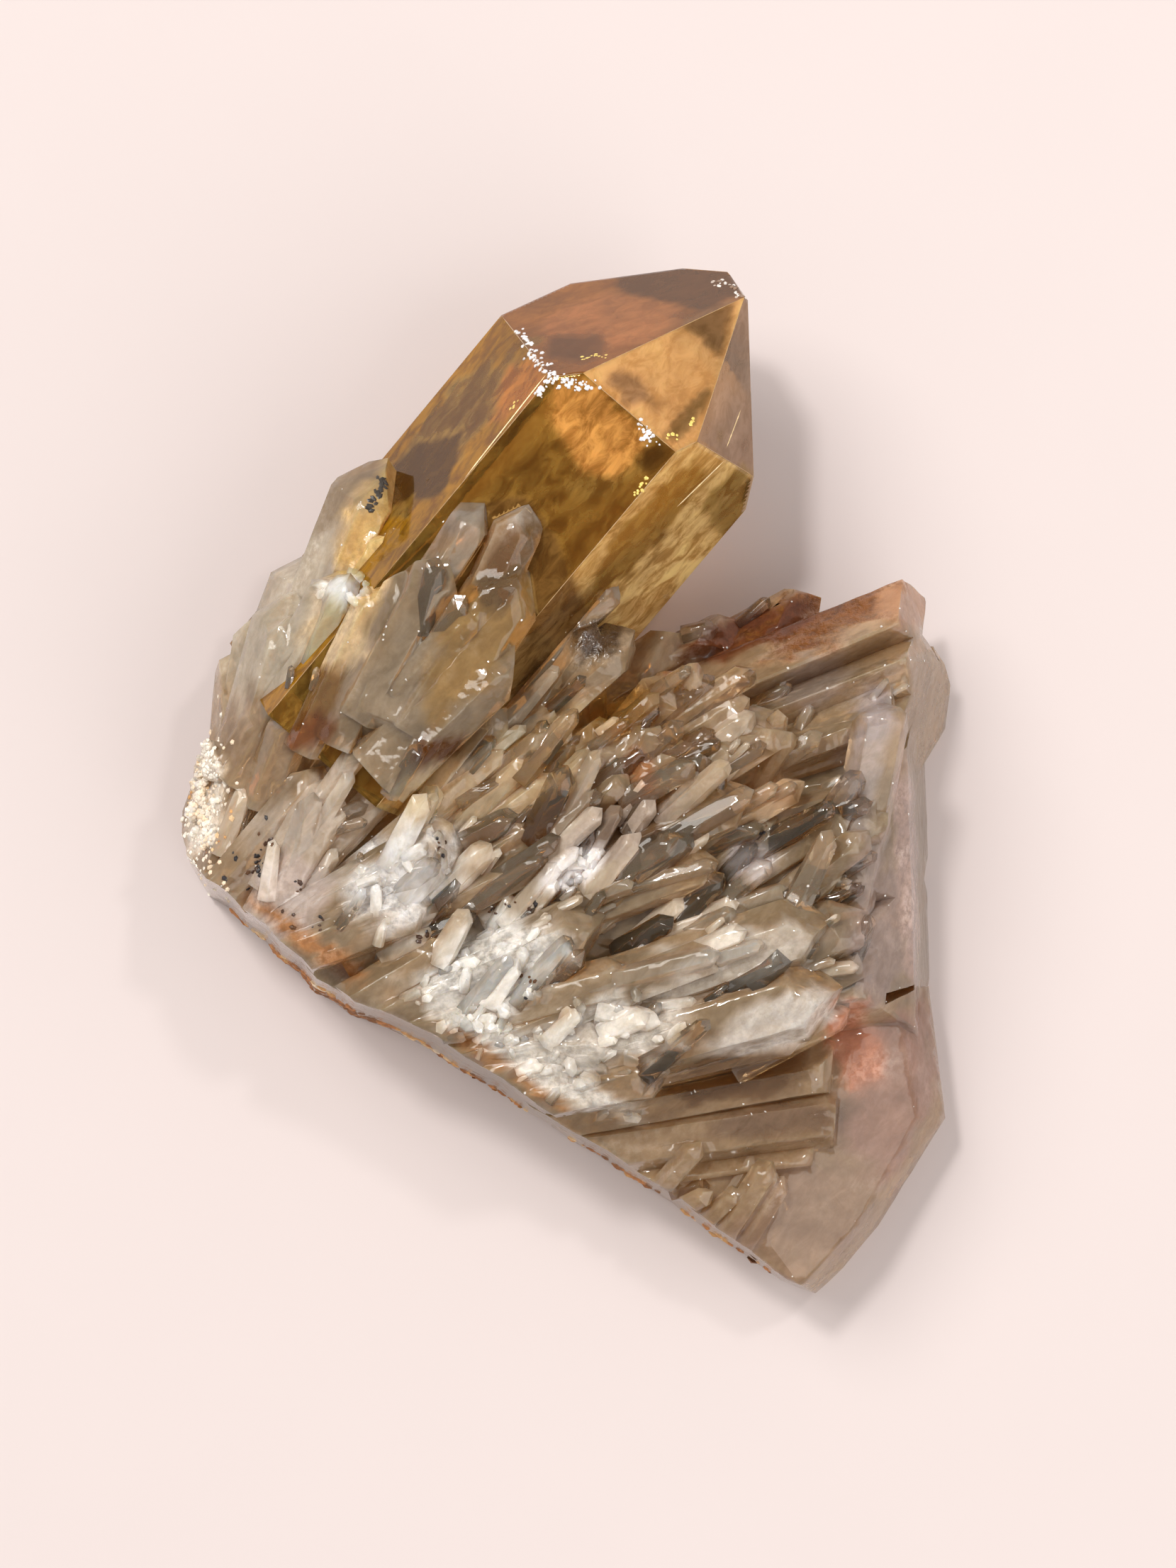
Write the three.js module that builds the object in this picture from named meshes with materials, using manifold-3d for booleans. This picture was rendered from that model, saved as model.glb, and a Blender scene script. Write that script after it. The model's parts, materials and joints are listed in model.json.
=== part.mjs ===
// A hand-sized cluster of smoky citrine quartz, lying on its back.
// One large clear point stands at the upper left. Smaller points and milky blades fan out beside it.
// All of them are grown together from one broken foot, so the cluster is a single solid.
//
// Millimetres, +Z up. The origin is under the middle of the cluster, on the surface that it lies on. +Y runs
// towards the large point, and +X towards the broken ends of the fan.

import * as THREE from "three";
import { ConvexGeometry } from "three/addons/geometries/ConvexGeometry.js";
import { mergeVertices } from "three/addons/utils/BufferGeometryUtils.js";
import Module from "manifold-3d";

const wasm = await Module();
wasm.setup();

// ---- driving dimensions ----

const RHOMB_ANGLE = 38.2; // degrees from quartz's long axis to its termination faces
const BODY_DEPTH = 20; // thickness of the mass that the points stand on
const BODY_MIDDLE = 10; // height of that mass's middle above the surface
const LARGE_POINT_ACROSS = 29.4; // corner to corner across the large point's prism
const LARGE_POINT_DEEP = 28.2; // its front face to its back face
const NEEDLE_COUNT = 24; // slender points along the front of the fan
const SEED = 20;

const BURIED = 1.3; // how much longer a crystal is than the part of it that shows
const EVERYWHERE = 400; // the size of a block that reaches past the whole cluster

const UP = new THREE.Vector3(0, 0, 1);
const DOWN = new THREE.Vector3(0, 0, -1);
const COS30 = Math.cos(Math.PI / 6);
const EPSILON = 1e-5;
const SAME_CORNER = 0.002; // corners nearer than this are one corner

const radians = THREE.MathUtils.degToRad;
const lerp = THREE.MathUtils.lerp;
const vector = (p) => new THREE.Vector3(...p);

// Numbers from 0 to 1 in a fixed order, so that the cluster is the same each time.
function randomSource(seed) {
  let state = seed;
  return () => {
    state = (state + 0x6d2b79f5) | 0;
    let t = Math.imul(state ^ (state >>> 15), 1 | state);
    t = (t + Math.imul(t ^ (t >>> 7), 61 | t)) ^ t;
    return ((t ^ (t >>> 14)) >>> 0) / 4294967296;
  };
}
const random = randomSource(SEED);
const between = (low, high) => lerp(low, high, random());

// ---- solids ----

// A three.js geometry as a solid that can be joined and cut.
function solidOf(geometry) {
  const bare = geometry.clone();
  bare.deleteAttribute("normal");
  bare.deleteAttribute("uv");
  const merged = mergeVertices(bare, EPSILON * 10);
  return new wasm.Manifold(
    new wasm.Mesh({
      numProp: 3,
      vertProperties: merged.attributes.position.array,
      triVerts: new Uint32Array(merged.index.array),
    }),
  );
}

// A joined solid as a three.js geometry.
function geometryOf(solid) {
  const mesh = solid.getMesh();
  const geometry = new THREE.BufferGeometry();
  geometry.setAttribute(
    "position",
    new THREE.BufferAttribute(mesh.vertProperties, 3),
  );
  geometry.setIndex(new THREE.BufferAttribute(mesh.triVerts, 1));
  geometry.computeVertexNormals();
  return geometry;
}

const join = (solids) => solids.reduce((all, next) => all.add(next));

// The largest connected skin of a solid, without the pockets sealed inside it and any splinters come away.
function outerSkin(solid) {
  const mesh = solid.getMesh();
  const leader = Array.from({ length: mesh.numVert }, (_, index) => index);
  const leaderOf = (index) => {
    while (leader[index] !== index) {
      leader[index] = leader[leader[index]];
      index = leader[index];
    }
    return index;
  };
  const triangles = [];
  for (let at = 0; at < mesh.triVerts.length; at += 3)
    triangles.push(Array.from(mesh.triVerts.slice(at, at + 3)));
  for (const [a, b, c] of triangles) {
    leader[leaderOf(a)] = leaderOf(b);
    leader[leaderOf(b)] = leaderOf(c);
  }
  const skins = new Map();
  for (const triangle of triangles) {
    const key = leaderOf(triangle[0]);
    if (!skins.has(key)) skins.set(key, []);
    skins.get(key).push(triangle);
  }
  const largest = [...skins.values()].sort((a, b) => b.length - a.length)[0];
  const kept = new wasm.Mesh({
    numProp: 3,
    vertProperties: mesh.vertProperties,
    triVerts: new Uint32Array(largest.flat()),
  });
  return new wasm.Manifold(kept);
}

// The corners of the space inside a set of planes, each given by an outward normal and a point on it.
function cornersInside(planes) {
  const flat = planes.map(({ normal, point }) => ({
    normal,
    reach: normal.dot(point),
  }));
  const corners = [];
  for (let i = 0; i < flat.length; i++)
    for (let j = i + 1; j < flat.length; j++)
      for (let k = j + 1; k < flat.length; k++) {
        const [a, b, c] = [flat[i], flat[j], flat[k]];
        const bc = b.normal.clone().cross(c.normal);
        const volume = a.normal.dot(bc);
        if (Math.abs(volume) < EPSILON) continue;
        const corner = bc
          .multiplyScalar(a.reach)
          .addScaledVector(c.normal.clone().cross(a.normal), b.reach)
          .addScaledVector(a.normal.clone().cross(b.normal), c.reach)
          .divideScalar(volume);
        const inside = flat.every(
          (p) => p.normal.dot(corner) <= p.reach + EPSILON,
        );
        if (inside && corners.every((q) => q.distanceTo(corner) > SAME_CORNER))
          corners.push(corner);
      }
  return corners;
}

// One quartz crystal, as the space inside its faces: six prism faces, six termination faces and its root.
//   root, tip  where it springs from and where it comes to a point
//   across     corner to corner across the prism, seen from the front
//   depth      front face to back face
//   spin       degrees that the prism is turned about its own axis
//   lift       how far each termination face is raised along the axis: a raised face is a smaller one
//   breaks     flat breaks near the point: how far back, how far each leans, and which way, in degrees
function quartz({
  root,
  tip,
  across,
  depth = across * COS30,
  spin = 0,
  lift = [0, 0, 0, 0, 0, 0],
  breaks = [],
}) {
  const from = vector(root);
  const to = vector(tip);
  const axis = to.clone().sub(from).normalize();
  const right = axis.clone().cross(UP).normalize();
  const front = right.clone().cross(axis);
  const towards = (degrees) =>
    front
      .clone()
      .multiplyScalar(Math.cos(radians(degrees)))
      .addScaledVector(right, Math.sin(radians(degrees)));

  const planes = [{ normal: axis.clone().negate(), point: from }];
  for (let side = 0; side < 6; side++) {
    const outward = towards(spin + 60 * side);
    const reach = side % 3 === 0 ? depth / 2 : (across * COS30) / 2;
    planes.push({
      normal: outward,
      point: from.clone().addScaledVector(outward, reach),
    });
    planes.push({
      normal: outward
        .clone()
        .multiplyScalar(Math.cos(radians(RHOMB_ANGLE)))
        .addScaledVector(axis, Math.sin(radians(RHOMB_ANGLE))),
      point: to.clone().addScaledVector(axis, lift[side]),
    });
  }
  for (const { back, lean, turn } of breaks)
    planes.push({
      normal: axis
        .clone()
        .multiplyScalar(Math.cos(radians(lean)))
        .addScaledVector(towards(turn), Math.sin(radians(lean))),
      point: to.clone().addScaledVector(axis, -back),
    });
  return solidOf(new ConvexGeometry(cornersInside(planes)));
}

// The uneven termination of a grown crystal: three larger faces that meet at the point, three smaller ones.
function naturalLift(across) {
  const larger = random() < 0.5 ? 0 : 1;
  return [0, 1, 2, 3, 4, 5].map((side) =>
    side % 2 === larger
      ? between(0, 0.06) * across
      : between(0.08, 0.5) * across,
  );
}

// A flat-sided block from two outlines, each a list of corners at its own height.
function block(...outlines) {
  const corners = outlines.flatMap(({ height, corners: list }) =>
    list.map(([x, y]) => new THREE.Vector3(x, y, height)),
  );
  return solidOf(new ConvexGeometry(corners));
}

// A lump of crust: the outer skin of points scattered over a squashed ball.
function lump([x, y, z], [across, along, deep]) {
  const points = Array.from({ length: 16 }, () => {
    const spot = new THREE.Vector3(
      between(-1, 1),
      between(-1, 1),
      between(-1, 1),
    ).normalize();
    return new THREE.Vector3(
      x + (spot.x * across) / 2,
      y + (spot.y * along) / 2,
      z + (spot.z * deep) / 2,
    );
  });
  return solidOf(new ConvexGeometry(points));
}

// What is left of a solid behind a flat break: the normal points to the side that is lost.
function breakOff(solid, point, normal) {
  const waste = new THREE.BoxGeometry(EVERYWHERE, EVERYWHERE, EVERYWHERE);
  const outward = vector(normal).normalize();
  waste.translate(0, 0, EVERYWHERE / 2);
  waste.applyQuaternion(new THREE.Quaternion().setFromUnitVectors(UP, outward));
  waste.translate(...point);
  return solid.subtract(solidOf(waste));
}

// ---- the large point ----

// Its termination has one broad front face, a smaller and higher one on the right, and a chipped tip.
function largePoint() {
  const point = quartz({
    root: [-21, 3.4, 10.6],
    tip: [15.5, 46.2, 20.3],
    across: LARGE_POINT_ACROSS,
    depth: LARGE_POINT_DEEP,
    spin: 0.3,
    lift: [4, 4.1, 1, 4, 6.1, 0],
  });
  const blunted = breakOff(point, [16, 46.3, 20], [0.68, 0.69, 0.22]);
  return breakOff(blunted, [16.8, 45, 24], [0.9, 0.2, 0.5]);
}

// ---- the mass under the fan ----

// Broad crystals that nothing but their ends and backs shows of. They carry everything else.
function bodyCrystals() {
  const fan = [
    { root: [-32, -18.2, 10], tip: [17.5, 6.2, 10.5], across: 18, depth: BODY_DEPTH },
    { root: [-29, -21.8, 10], tip: [46, 0, 10], across: 20, depth: BODY_DEPTH },
    { root: [-19, -26.8, 9.5], tip: [46, -13.6, 9], across: 18, depth: BODY_DEPTH },
    { root: [-35.4, -13.6, 10.5], tip: [-6, 14.5, 11.5], across: 15, depth: 21 },
  ].map(quartz);
  const wall = breakOff(join(fan), [34, -10, 8], [1, 0.01, 0.2]);
  const stepped = breakOff(wall, [31.6, -10, 15.4], [0.78, -0.06, 0.6]);
  const flanks = [
    { root: [-34.6, -12, 11.5], tip: [-21.5, 23, 13], across: 10, depth: 16 },
    { root: [-14, -28.6, 9], tip: [29, -26, 9], across: 13, depth: 15 },
  ].map(quartz);
  return join([stepped, ...flanks]);
}

// The broad clear crystal at the lower right, with its flat front face and chisel end.
function chiselCrystal() {
  return block(
    {
      height: 1,
      corners: [[0, -38], [8, -23], [33.4, -21.2], [35.2, -33], [29, -42.6], [22, -48]],
    },
    {
      height: 6.5,
      corners: [
        [-4, -37], [8, -21], [35.1, -20.1], [36.7, -32.9], [30.2, -43.3], [26.8, -47.4], [23.6, -50.4],
      ],
    },
    {
      height: 12.4,
      corners: [[0, -34], [10, -21], [31.4, -20.8], [33.4, -32.2], [27.6, -42.6], [22.4, -48.4]],
    },
    { height: 14, corners: [[2, -34], [12, -24], [27.6, -25], [25, -33], [18, -42.4]] },
  );
}

// The dark slit between the chisel crystal and the blades above it.
function slit() {
  return block(
    { height: 16, corners: [[25.8, -22.9], [33.4, -20.4], [33.4, -19.4], [27, -21.4]] },
    { height: 8.5, corners: [[27.4, -22], [33.2, -20.1]] },
  );
}

// ---- the crystals that show ----

// Golden and milky points up the left flank of the large point.
const LEFT_SPRAY = [
  { from: [-25.4, 8.8], tip: [-16.8, 29.8, 19], rise: 9, across: 8, depth: 9.4, spin: 10 },
  { from: [-22.4, 11.6], tip: [-15.3, 23.8, 21.4], rise: 10, across: 4.8, depth: 5.4, spin: -12 },
  { from: [-28, 4], tip: [-19.7, 19.1, 23], rise: 13, across: 6.4, spin: 18 },
  { from: [-30.4, 0.8], tip: [-25.4, 17.4, 19.5], rise: 12, across: 6.4, depth: 8, spin: 4 },
  { from: [-31.4, 0], tip: [-28.6, 15.8, 14.8], rise: 12, across: 5.2, depth: 7, spin: 20 },
  { from: [-32.4, -1.4], tip: [-31, 12.4, 11.6], rise: 8, across: 4.8, depth: 7, spin: -10 },
  { from: [-29, 4], tip: [-25.4, 15.1, 21.6], rise: 16, across: 4, spin: 33 },
  { from: [-27.8, -0.4], tip: [-24.9, 6.4, 23.4], rise: 22, across: 4.2, spin: 12 },
  { from: [-30.6, -1.6], tip: [-28, 5.9, 20.8], rise: 20, across: 3.8, spin: -18 },
  { from: [-33.6, -7.4], tip: [-32.8, 3.4, 13.4], rise: 10, across: 4.8, depth: 8, spin: 6 },
  { from: [-32.8, -7.8], tip: [-30.4, 3, 17.4], rise: 14, across: 4.2, spin: 24 },
  { from: [-25.6, 1.8], tip: [-19.7, 11.3, 22], rise: 14, across: 4.6, spin: 25 },
];

// Milky points that lie across the front of the large point.
const FRONT_GROUP = [
  { from: [-14.2, 14.8], tip: [-7.4, 25.1, 29.6], rise: 10, across: 4.3, depth: 3.6, spin: 22 },
  { from: [-8.2, 14.2], tip: [-3.4, 24.8, 30.2], rise: 10, across: 4.9, depth: 4.2, spin: -16 },
  { from: [-11.4, 7.6], tip: [-3.8, 19.5, 29.6], rise: 8, across: 7.4, depth: 5.4, spin: 8 },
  { from: [-14.4, 3.2], tip: [-4.6, 12.6, 28.6], rise: 8, across: 7.4, depth: 5.6, spin: -14 },
  { from: [-17, 9], tip: [-10.8, 20, 30.4], rise: 14, across: 5.6, spin: -6 },
  { from: [-13.8, 9.6], tip: [-7.7, 15.5, 31.4], rise: 16, across: 3.4, spin: 30 },
  { from: [-19.4, 7], tip: [-13.4, 19.4, 28.8], rise: 12, across: 4.8, depth: 4.6, spin: 14 },
  { from: [-22.6, 6], tip: [-16.6, 17.6, 27.4], rise: 12, across: 4, spin: 4 },
];

// The broad milky shield under that group, with rounded lower corners.
function shield() {
  return block(
    { height: 20, corners: [[-19.4, 4], [-12, 3.4], [-8, 8], [-17, 11]] },
    {
      height: 24,
      corners: [
        [-21.4, 5.4], [-20.8, 3.2], [-13, 2.6], [-8.9, 5], [-6.3, 8.2], [-7, 12.6], [-10.4, 14.2], [-16, 14],
        [-19.6, 11],
      ],
    },
    {
      height: 29.6,
      corners: [
        [-18.9, 6.4], [-14, 4.6], [-10, 6.4], [-8.4, 9.8], [-10.3, 12.2], [-14.7, 12.3], [-17.6, 9.9],
      ],
    },
  );
}

// Small clear points in the hollow between the large point and the fan.
const HOLLOW_POINTS = [
  { from: [-2.4, 5.8], tip: [6.4, 13.7, 22.4], rise: 13, across: 5.4, depth: 5.8, spin: 28 },
  { from: [2.7, 5], tip: [2.8, 10.4, 22.6], rise: 45, across: 2.4, spin: 14 },
  { from: [-6, 3], tip: [-0.1, 7.2, 22.6], rise: 20, across: 3.1, spin: 8 },
  { from: [-0.2, 1.8], tip: [4.5, 5.1, 22.6], rise: 26, across: 3, spin: 35 },
  { from: [-10.8, 2.2], tip: [-6.6, 5.6, 23], rise: 28, across: 2.8, spin: 21 },
];

// The upper arm of the fan: stout crystals with snapped ends, and smaller ones low behind them.
const UPPER_ARM = [
  { root: [0.6, 2.4, 13], tip: [41, 19.2, 13.4], across: 6.6, depth: 11, spin: 6 },
  { root: [3.5, -0.9, 13], tip: [42, 14, 13.6], across: 7, depth: 12, spin: -10 },
  { root: [4, -4, 9], tip: [43, 9, 9], across: 12, depth: 15, spin: 0 },
  { root: [8, 8.6, 7.6], tip: [24.4, 17.2, 8.4], across: 5, depth: 9, spin: 10 },
  { root: [2, 7.2, 9], tip: [17.4, 14.6, 9.4], across: 5, depth: 9, spin: -8 },
  { root: [0, 6, 10], tip: [11.4, 13.6, 12], across: 4.8, depth: 9, spin: 20 },
  {
    root: [6.9, -2.6, 14], tip: [35, 8.6, 15.6], across: 6.6, depth: 9, spin: 14,
    breaks: [{ back: 4, lean: 14, turn: 60 }],
  },
  {
    root: [18, -12, 11], tip: [35.4, -1.2, 13.6], across: 9, depth: 12, spin: 18,
    breaks: [{ back: 4.4, lean: 12, turn: 80 }, { back: 3, lean: 48, turn: 20 }],
  },
];

// Small bright points scattered over the middle of the fan.
const MIDDLE_POINTS = [
  { from: [2.6, 0.2], tip: [10.9, 9.9, 21.2], rise: 15, across: 5.2, spin: 24 },
  { from: [12.6, 4.6], tip: [11.6, 10.6, 23.4], rise: 42, across: 2.4, spin: 10 },
  { from: [9.4, 5], tip: [17.7, 10.1, 22.4], rise: 13, across: 2.8, spin: 34 },
  { from: [9.8, 2.8], tip: [17.2, 7.4, 22.2], rise: 14, across: 2.9, spin: 15 },
  { from: [5, -0.6], tip: [10.6, 1.7, 23.4], rise: 26, across: 3, spin: 20 },
  { from: [6.2, 0.8], tip: [8.8, 4.8, 24], rise: 36, across: 2.6, spin: 8 },
  { from: [9.6, -2.6], tip: [19.8, 6.1, 20.6], rise: 9, across: 4.8, spin: 26 },
  { from: [19.6, -0.6], tip: [19.8, 6.4, 22.2], rise: 38, across: 2, spin: 3 },
  { from: [18.6, 0], tip: [21.1, 4.2, 22], rise: 34, across: 2, spin: 12 },
  { from: [-2, -10.2], tip: [17.7, -1.4, 22], rise: 6, across: 5.4, spin: 18 },
  { from: [14.8, -4.8], tip: [22.3, -0.4, 21.8], rise: 11, across: 3, spin: 33 },
  { from: [0, -13.4], tip: [14.3, -7.8, 22.6], rise: 9, across: 3.8, spin: 9 },
  { from: [-3.6, -13.4], tip: [6.9, -9.2, 23.2], rise: 11, across: 2.8, spin: 21 },
  { from: [9, -16.4], tip: [16.4, -12.8, 22.2], rise: 11, across: 2.6, spin: 15 },
  { from: [4.4, -4.6], tip: [8.6, 2.3, 22.8], rise: 22, across: 3, spin: 19 },
  { from: [-12, -11.4], tip: [-2.4, -3.5, 22], rise: 8, across: 4, spin: 28 },
  { from: [-9, -10.4], tip: [6.9, -2.2, 21.4], rise: 6, across: 3.6, spin: 12 },
  { from: [-22.8, -7.4], tip: [-13.2, 2.6, 22.8], rise: 9, across: 3.4, spin: 11 },
  { from: [-21, -9.8], tip: [-7.7, 1.3, 22], rise: 7, across: 3, spin: 27 },
  { from: [-17, -7.4], tip: [-5.2, 3.3, 21.8], rise: 7, across: 3.4, spin: 5 },
  { from: [-17.6, -12], tip: [-0.4, 0.5, 21.2], rise: 5, across: 4, spin: 17 },
  { from: [-16, -14.4], tip: [0.2, -6.1, 22.4], rise: 7, across: 4.7, spin: 23 },
  { from: [-10.6, -4.6], tip: [0.3, 5.9, 21], rise: 6, across: 4, spin: 14 },
  { from: [-5.2, -4], tip: [5.4, 4.4, 21], rise: 7, across: 3.8, spin: 31 },
];

// Milky blades along the foot, several of them snapped short.
const WHITE_BLADES = [
  { from: [-27.4, -12], tip: [-21, -1, 23], rise: 10, across: 4.8, spin: 12 },
  { from: [-32.2, -10.2], tip: [-22.6, 1.1, 21.6], rise: 8, across: 4.2, spin: 30 },
  {
    from: [-29.6, -17.4], tip: [-11.4, -10.8, 23.8], rise: 7, across: 6.2, spin: 20,
    breaks: [{ back: 1.2, lean: 20, turn: -40 }, { back: 0.6, lean: 44, turn: 70 }],
  },
  {
    from: [-27.2, -15], tip: [-9.4, -4.9, 24.6], rise: 8, across: 5.4, spin: 8,
    breaks: [{ back: 1.2, lean: 32, turn: 20 }],
  },
  { from: [-25, -5.4], tip: [-18.6, 3.1, 26], rise: 26, across: 2.4, spin: 16 },
  { from: [-14.4, -6.4], tip: [-11.9, -0.6, 25], rise: 24, across: 2.4, spin: 22 },
  { from: [-5.6, -23.4], tip: [24.5, -13.3, 22.6], rise: 5, across: 6.8, spin: 13 },
  { from: [-5.6, -28.4], tip: [25.6, -19.4, 21.8], rise: 4, across: 8.4, depth: 7.4, spin: 5 },
  { from: [-7.4, -30.6], tip: [22.7, -23.4, 20.4], rise: 5, across: 5, spin: 20 },
  { from: [-2.4, -22.6], tip: [14.4, -16, 25], rise: 8, across: 4, spin: 26 },
  { from: [14.4, -19.2], tip: [28.3, -12.8, 20.4], rise: 7, across: 6, spin: 9 },
  { from: [17.4, -22.4], tip: [29.3, -16.1, 18.8], rise: 7, across: 4.2, spin: 24 },
  { from: [-6, -30.4], tip: [9.6, -27.4, 22.8], rise: 7, across: 4.9, spin: 16 },
  { from: [18.4, -26.2], tip: [26.7, -21.7, 20], rise: 9, across: 2.9, spin: 11 },
  { from: [-18.4, -22.8], tip: [3.6, -12.8, 23], rise: 6, across: 6.2, spin: 19 },
  { from: [-15, -24], tip: [6.9, -18.2, 24], rise: 7, across: 4.8, spin: 7 },
  { from: [-13, -26], tip: [5.6, -24.4, 22.8], rise: 8, across: 5.4, spin: 29 },
  { from: [-21, -21.6], tip: [-10.4, -15.4, 22.8], rise: 8, across: 4.4, spin: 14 },
];

// Brown blades and small twins over the chisel crystal.
const LOWER_POINTS = [
  {
    from: [-4.4, -32.8], tip: [28, -26.8, 14.6], rise: 3, across: 6.2, depth: 6.6, spin: 16,
    breaks: [{ back: 2.6, lean: 16, turn: 70 }],
  },
  {
    from: [-2.6, -36], tip: [28.4, -31.4, 14.2], rise: 3, across: 6.6, depth: 6.4, spin: 4,
    breaks: [{ back: 2.8, lean: 12, turn: 90 }],
  },
  {
    from: [2, -38.4], tip: [25.4, -35.2, 13.2], rise: 3, across: 3.4, depth: 5, spin: 22,
    breaks: [{ back: 1.6, lean: 18, turn: 60 }],
  },
  { from: [15.2, -43.4], tip: [19.5, -36.2, 16.8], rise: 24, across: 2.8, spin: 12 },
  { from: [16.8, -44.8], tip: [20.7, -37.7, 15.8], rise: 22, across: 2.4, spin: 27 },
  { from: [13, -42.6], tip: [16.6, -39, 15.4], rise: 24, across: 2.1, spin: 8 },
  { from: [10, -37.8], tip: [12.8, -34.3, 17.4], rise: 32, across: 2.5, spin: 18 },
  { from: [10, -41.4], tip: [13.9, -39.2, 15.2], rise: 24, across: 2.1, spin: 31 },
];

// Tall milky blades that stand near the snapped right side.
const RIGHT_BLADES = [
  {
    from: [27.2, -8], tip: [30, 7.8, 20.4], rise: 9, across: 5.4, depth: 3.8, spin: 10,
    breaks: [{ back: 1.2, lean: 20, turn: -60 }],
  },
  { from: [22.2, -13], tip: [29, -1.5, 20], rise: 10, across: 4.8, spin: 21 },
  { from: [18.4, -14.4], tip: [26.6, -6.8, 20], rise: 11, across: 4.4, spin: 6 },
];

// Larger backs that the cluster lies on, turned the way of the fan.
const BACK_POINTS = [
  { root: [-24, -13.6, 5], tip: [4, 10.5, 4], across: 9, depth: 10, spin: 9 },
  { root: [-17, -20.8, 4.5], tip: [24, 3.4, 4.5], across: 9.4, depth: 10, spin: 21 },
  { root: [-9, -27, 4.5], tip: [31, -13, 4.5], across: 9, depth: 10, spin: 13 },
  { root: [-30, -10, 6], tip: [-20.6, 18, 5], across: 7.4, depth: 11, spin: 26 },
  { root: [0, -33.6, 4.5], tip: [29.4, -27.4, 4.6], across: 8, depth: 9, spin: 5 },
];

const natural = (crystal) =>
  quartz({ lift: naturalLift(crystal.across), ...crystal });

// A crystal on the cluster's front: where it comes out of the mass, its tip, and how steeply it rises to it.
function frontPoint({ from, tip, rise, ...shape }) {
  const back = (at) => tip[at] - BURIED * (tip[at] - from[at]);
  const run = BURIED * Math.hypot(tip[0] - from[0], tip[1] - from[1]);
  const height = tip[2] - run * Math.tan(radians(rise));
  return natural({ root: [back(0), back(1), height], tip, ...shape });
}

// The upper arm's ends are snapped off along two planes that meet in a blunt corner.
function upperArm() {
  const arm = join(UPPER_ARM.map(natural));
  const above = breakOff(arm, [36.2, 11, 8], [0.93, 0.23, 0.35]);
  return breakOff(above, [36.2, 11, 8], [0.93, -0.2, 0.35]);
}

function pointsOnTheFan() {
  const groups = [
    LEFT_SPRAY,
    FRONT_GROUP,
    HOLLOW_POINTS,
    MIDDLE_POINTS,
    WHITE_BLADES,
    LOWER_POINTS,
    RIGHT_BLADES,
  ];
  const backs = BACK_POINTS.map(natural);
  return [...backs, ...groups.flat().map(frontPoint)];
}

// ---- small crystals seated on what is there already ----

// The foot's line, from its left end to its lower end. Crystals fan out from it.
const FOOT_LEFT = [-33.8, -9];
const FOOT_RIGHT = [22, -46];
const FAN_LEFT = 66; // degrees from +X that crystals point at the foot's left end
const FAN_RIGHT = -4; // and at its lower end
const HIGHEST_SEAT = 23; // needles keep off anything that stands higher than this
const STEEPEST_SEAT = 2; // and off a step in the surface that is higher than this

// A test of how high the solid stands at a place.
function surfaceProbe(solid) {
  const skin = new THREE.Mesh(
    geometryOf(solid),
    new THREE.MeshBasicMaterial({ side: THREE.DoubleSide }),
  );
  const caster = new THREE.Raycaster();
  return (x, y) => {
    caster.set(new THREE.Vector3(x, y, EVERYWHERE), DOWN);
    const hits = caster.intersectObject(skin);
    return hits.length ? hits[0].point.z : null;
  };
}

// A place in the fan: how far along the foot, and how far out along the crystals' own direction.
function fanPlace(along, out) {
  const angle = lerp(FAN_LEFT, FAN_RIGHT, along);
  const x = lerp(FOOT_LEFT[0], FOOT_RIGHT[0], along);
  const y = lerp(FOOT_LEFT[1], FOOT_RIGHT[1], along);
  return {
    x: x + out * Math.cos(radians(angle)),
    y: y + out * Math.sin(radians(angle)),
    angle,
  };
}

// Slender points that lie along the fan and rise a little out of it.
function needles(body) {
  const heightAt = surfaceProbe(body);
  const made = [];
  while (made.length < NEEDLE_COUNT) {
    const along = between(0.06, 0.6);
    const { x, y, angle } = fanPlace(along, between(4, 42));
    const across = between(1.8, 3.6);
    const length = across * between(2.6, 4.4);
    const turn = radians(angle + between(-8, 8));
    const tip = [
      x + length * Math.cos(turn),
      y + length * Math.sin(turn),
    ];
    const seat = heightAt(x, y);
    const seatAtTip = heightAt(...tip);
    if (!seat || !seatAtTip) continue;
    const higher = Math.max(seat, seatAtTip);
    if (higher > HIGHEST_SEAT || Math.abs(seat - seatAtTip) > STEEPEST_SEAT) continue;
    const height = higher + across * between(0, 0.2);
    made.push(
      frontPoint({
        from: [x, y],
        tip: [...tip, height],
        rise: between(5, 14),
        across,
        spin: between(0, 60),
      }),
    );
  }
  return made;
}

// ---- the foot ----

// Lumps of stained crust at the foot's left end.
function crustLumps() {
  return [
    lump([-33.2, -3, 12.6], [5.6, 8, 12]),
    lump([-33, -7, 10], [5, 6.6, 12]),
    lump([-31.4, -10, 14], [6, 5, 10]),
    lump([-32.8, 1.4, 16], [4, 5, 8]),
    lump([-28.6, -13.4, 12], [7, 5, 13]),
    lump([-20.6, -20.4, 9], [9, 5, 12]),
    lump([-13.6, -24.4, 8], [8, 4, 11]),
  ];
}

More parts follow.
